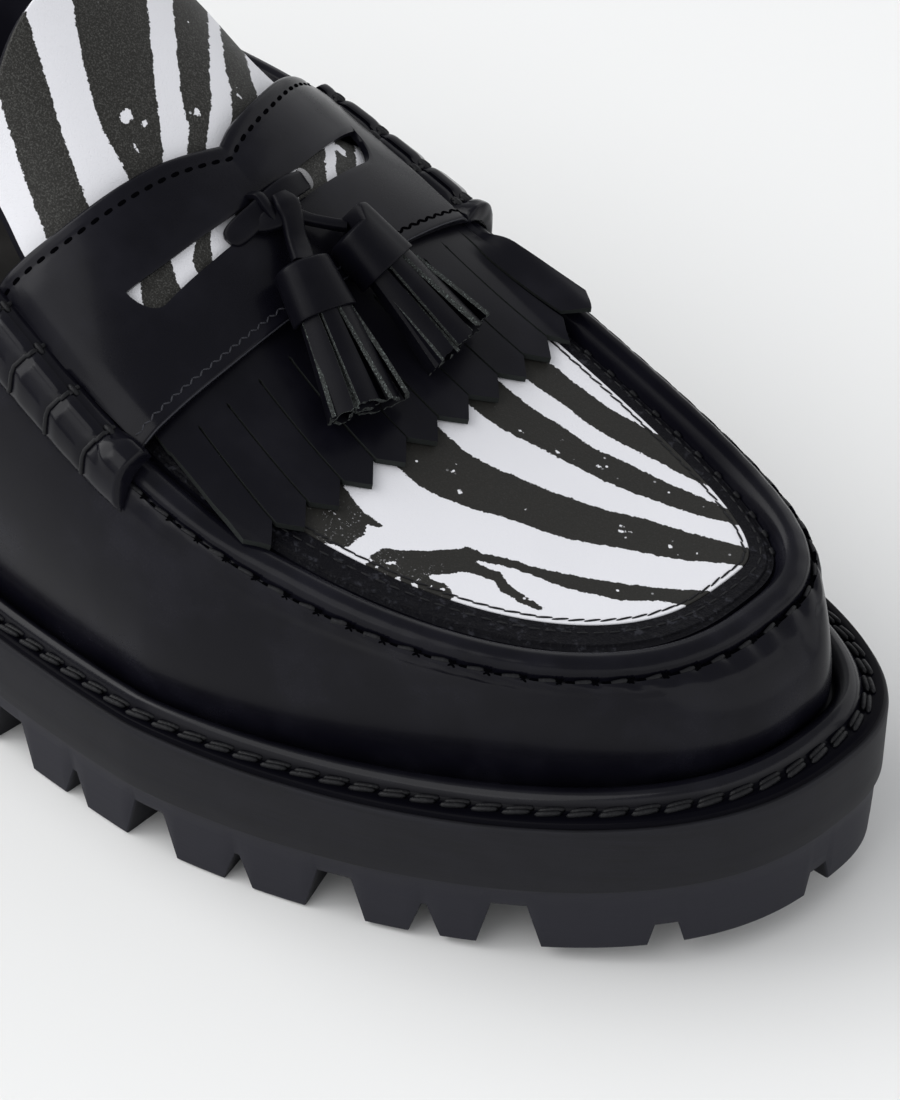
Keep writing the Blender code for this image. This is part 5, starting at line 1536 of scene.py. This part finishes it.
class LOAFER_OT_stage(bpy.types.Operator):
    """Pale floor, soft studio lights and the camera"""

    bl_idname = "loafer.stage"
    bl_label = "Stage"

    def execute(self, context):
        """One floor quad, five area lights aimed at the shoe, the camera by bearing, height and distance."""
        scene = context.scene
        half = 6.0
        corners = [(-half, -half, 0), (half, -half, 0), (half, half, 0), (-half, half, 0)]
        mesh = bpy.data.meshes.new("studio_floor")
        mesh.from_pydata(corners, [], [(0, 1, 2, 3)])
        floor = bpy.data.objects.new("studio_floor", mesh)
        scene.collection.objects.link(floor)
        mesh.materials.append(LOOKS["floor"])

        world = scene.world or bpy.data.worlds.new("studio")
        scene.world = world
        world.use_nodes = True
        sky = world.node_tree.nodes["Background"].inputs
        sky["Color"].default_value, sky["Strength"].default_value = (0.95, 0.97, 1.0, 1.0), 0.52
        # Panels of light: place, aim and size in metres, power in watts
        lights = (
            ("left_panel", (-2.2, -0.9, 1.7), (0.0, 0.0, 0.05), (3.0, 2.4), 66.0),
            ("high_front_panel", (-0.3, -1.7, 2.2), (0.1, -0.2, 0.0), (2.6, 2.0), 30.0),
            ("back_panel", (0.2, 2.6, 1.2), (0.0, 0.0, 0.05), (4.6, 2.0), 22.0),
            ("front_panel", (0.9, -2.3, 0.9), (0.0, 0.0, 0.1), (4.6, 1.9), 19.0),
            ("right_panel", (2.5, 0.3, 0.8), (0.0, 0.0, 0.05), (3.2, 1.6), 15.0),
        )
        for name, place, aim, size, power in lights:
            data = bpy.data.lights.new(name, "AREA")
            data.shape, data.size, data.size_y, data.energy = "RECTANGLE", *size, power
            light = bpy.data.objects.new(name, data)
            light.location = place
            light.rotation_euler = (Vector(aim) - Vector(place)).to_track_quat("-Z", "Y").to_euler()
            scene.collection.objects.link(light)

        a, e = math.radians(VIEW_AZIMUTH), math.radians(VIEW_HEIGHT)
        back = Vector((math.sin(a) * math.cos(e), -math.cos(a) * math.cos(e), math.sin(e)))
        data = bpy.data.cameras.new("camera")
        data.sensor_width = 36.0
        data.lens = VIEW_FOCAL / max(PICTURE) * data.sensor_width
        data.shift_y = -VIEW_RISE / max(PICTURE)
        data.clip_start, data.clip_end = 0.05, 50.0
        camera = bpy.data.objects.new("camera", data)
        camera.location = Vector(VIEW_AIM) * MM + back * VIEW_DISTANCE * MM
        camera.rotation_mode = "QUATERNION"
        camera.rotation_quaternion = (-back).to_track_quat("-Z", "Y")
        scene.collection.objects.link(camera)
        scene.camera = camera
        scene.view_settings.view_transform = "Standard"
        return {"FINISHED"}


OPERATORS = (
    LOAFER_OT_outsole, LOAFER_OT_welt, LOAFER_OT_insole, LOAFER_OT_upper, LOAFER_OT_seam_stitches,
    LOAFER_OT_print_panels, LOAFER_OT_strap, LOAFER_OT_fringe, LOAFER_OT_end_rolls, LOAFER_OT_tassels,
    LOAFER_OT_stage,
)


class LOAFER_PT_panel(bpy.types.Panel):
    """Lists the pieces and their sizes and colours"""

    bl_idname = "LOAFER_PT_panel"
    bl_label = "Tassel loafer"
    bl_space_type = "VIEW_3D"
    bl_region_type = "UI"
    bl_category = "Loafer"

    def draw(self, context):
        """A row for each property, then a button for each piece."""
        for group in (context.scene.loafer_sizes, context.scene.loafer_colours):
            for name in group.__annotations__:
                self.layout.prop(group, name)
        for operator in OPERATORS:
            self.layout.operator(operator.bl_idname)


CLASSES = (LoaferSizes, LoaferColours, *OPERATORS, LOAFER_PT_panel)


def register():
    """Makes the classes known and hangs their properties on the scene."""
    for cls in CLASSES:
        bpy.utils.register_class(cls)
    bpy.types.Scene.loafer_sizes = bpy.props.PointerProperty(type=LoaferSizes)
    bpy.types.Scene.loafer_colours = bpy.props.PointerProperty(type=LoaferColours)


def unregister():
    """Takes back what register did, in the reverse order."""
    del bpy.types.Scene.loafer_sizes, bpy.types.Scene.loafer_colours
    for cls in reversed(CLASSES):
        bpy.utils.unregister_class(cls)


def main():
    """Registers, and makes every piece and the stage."""
    register()
    LOOKS.update(make_looks(bpy.context.scene.loafer_colours))
    for operator in OPERATORS:
        getattr(bpy.ops.loafer, operator.bl_idname.split(".")[1])()


if __name__ == "__main__":
    main()
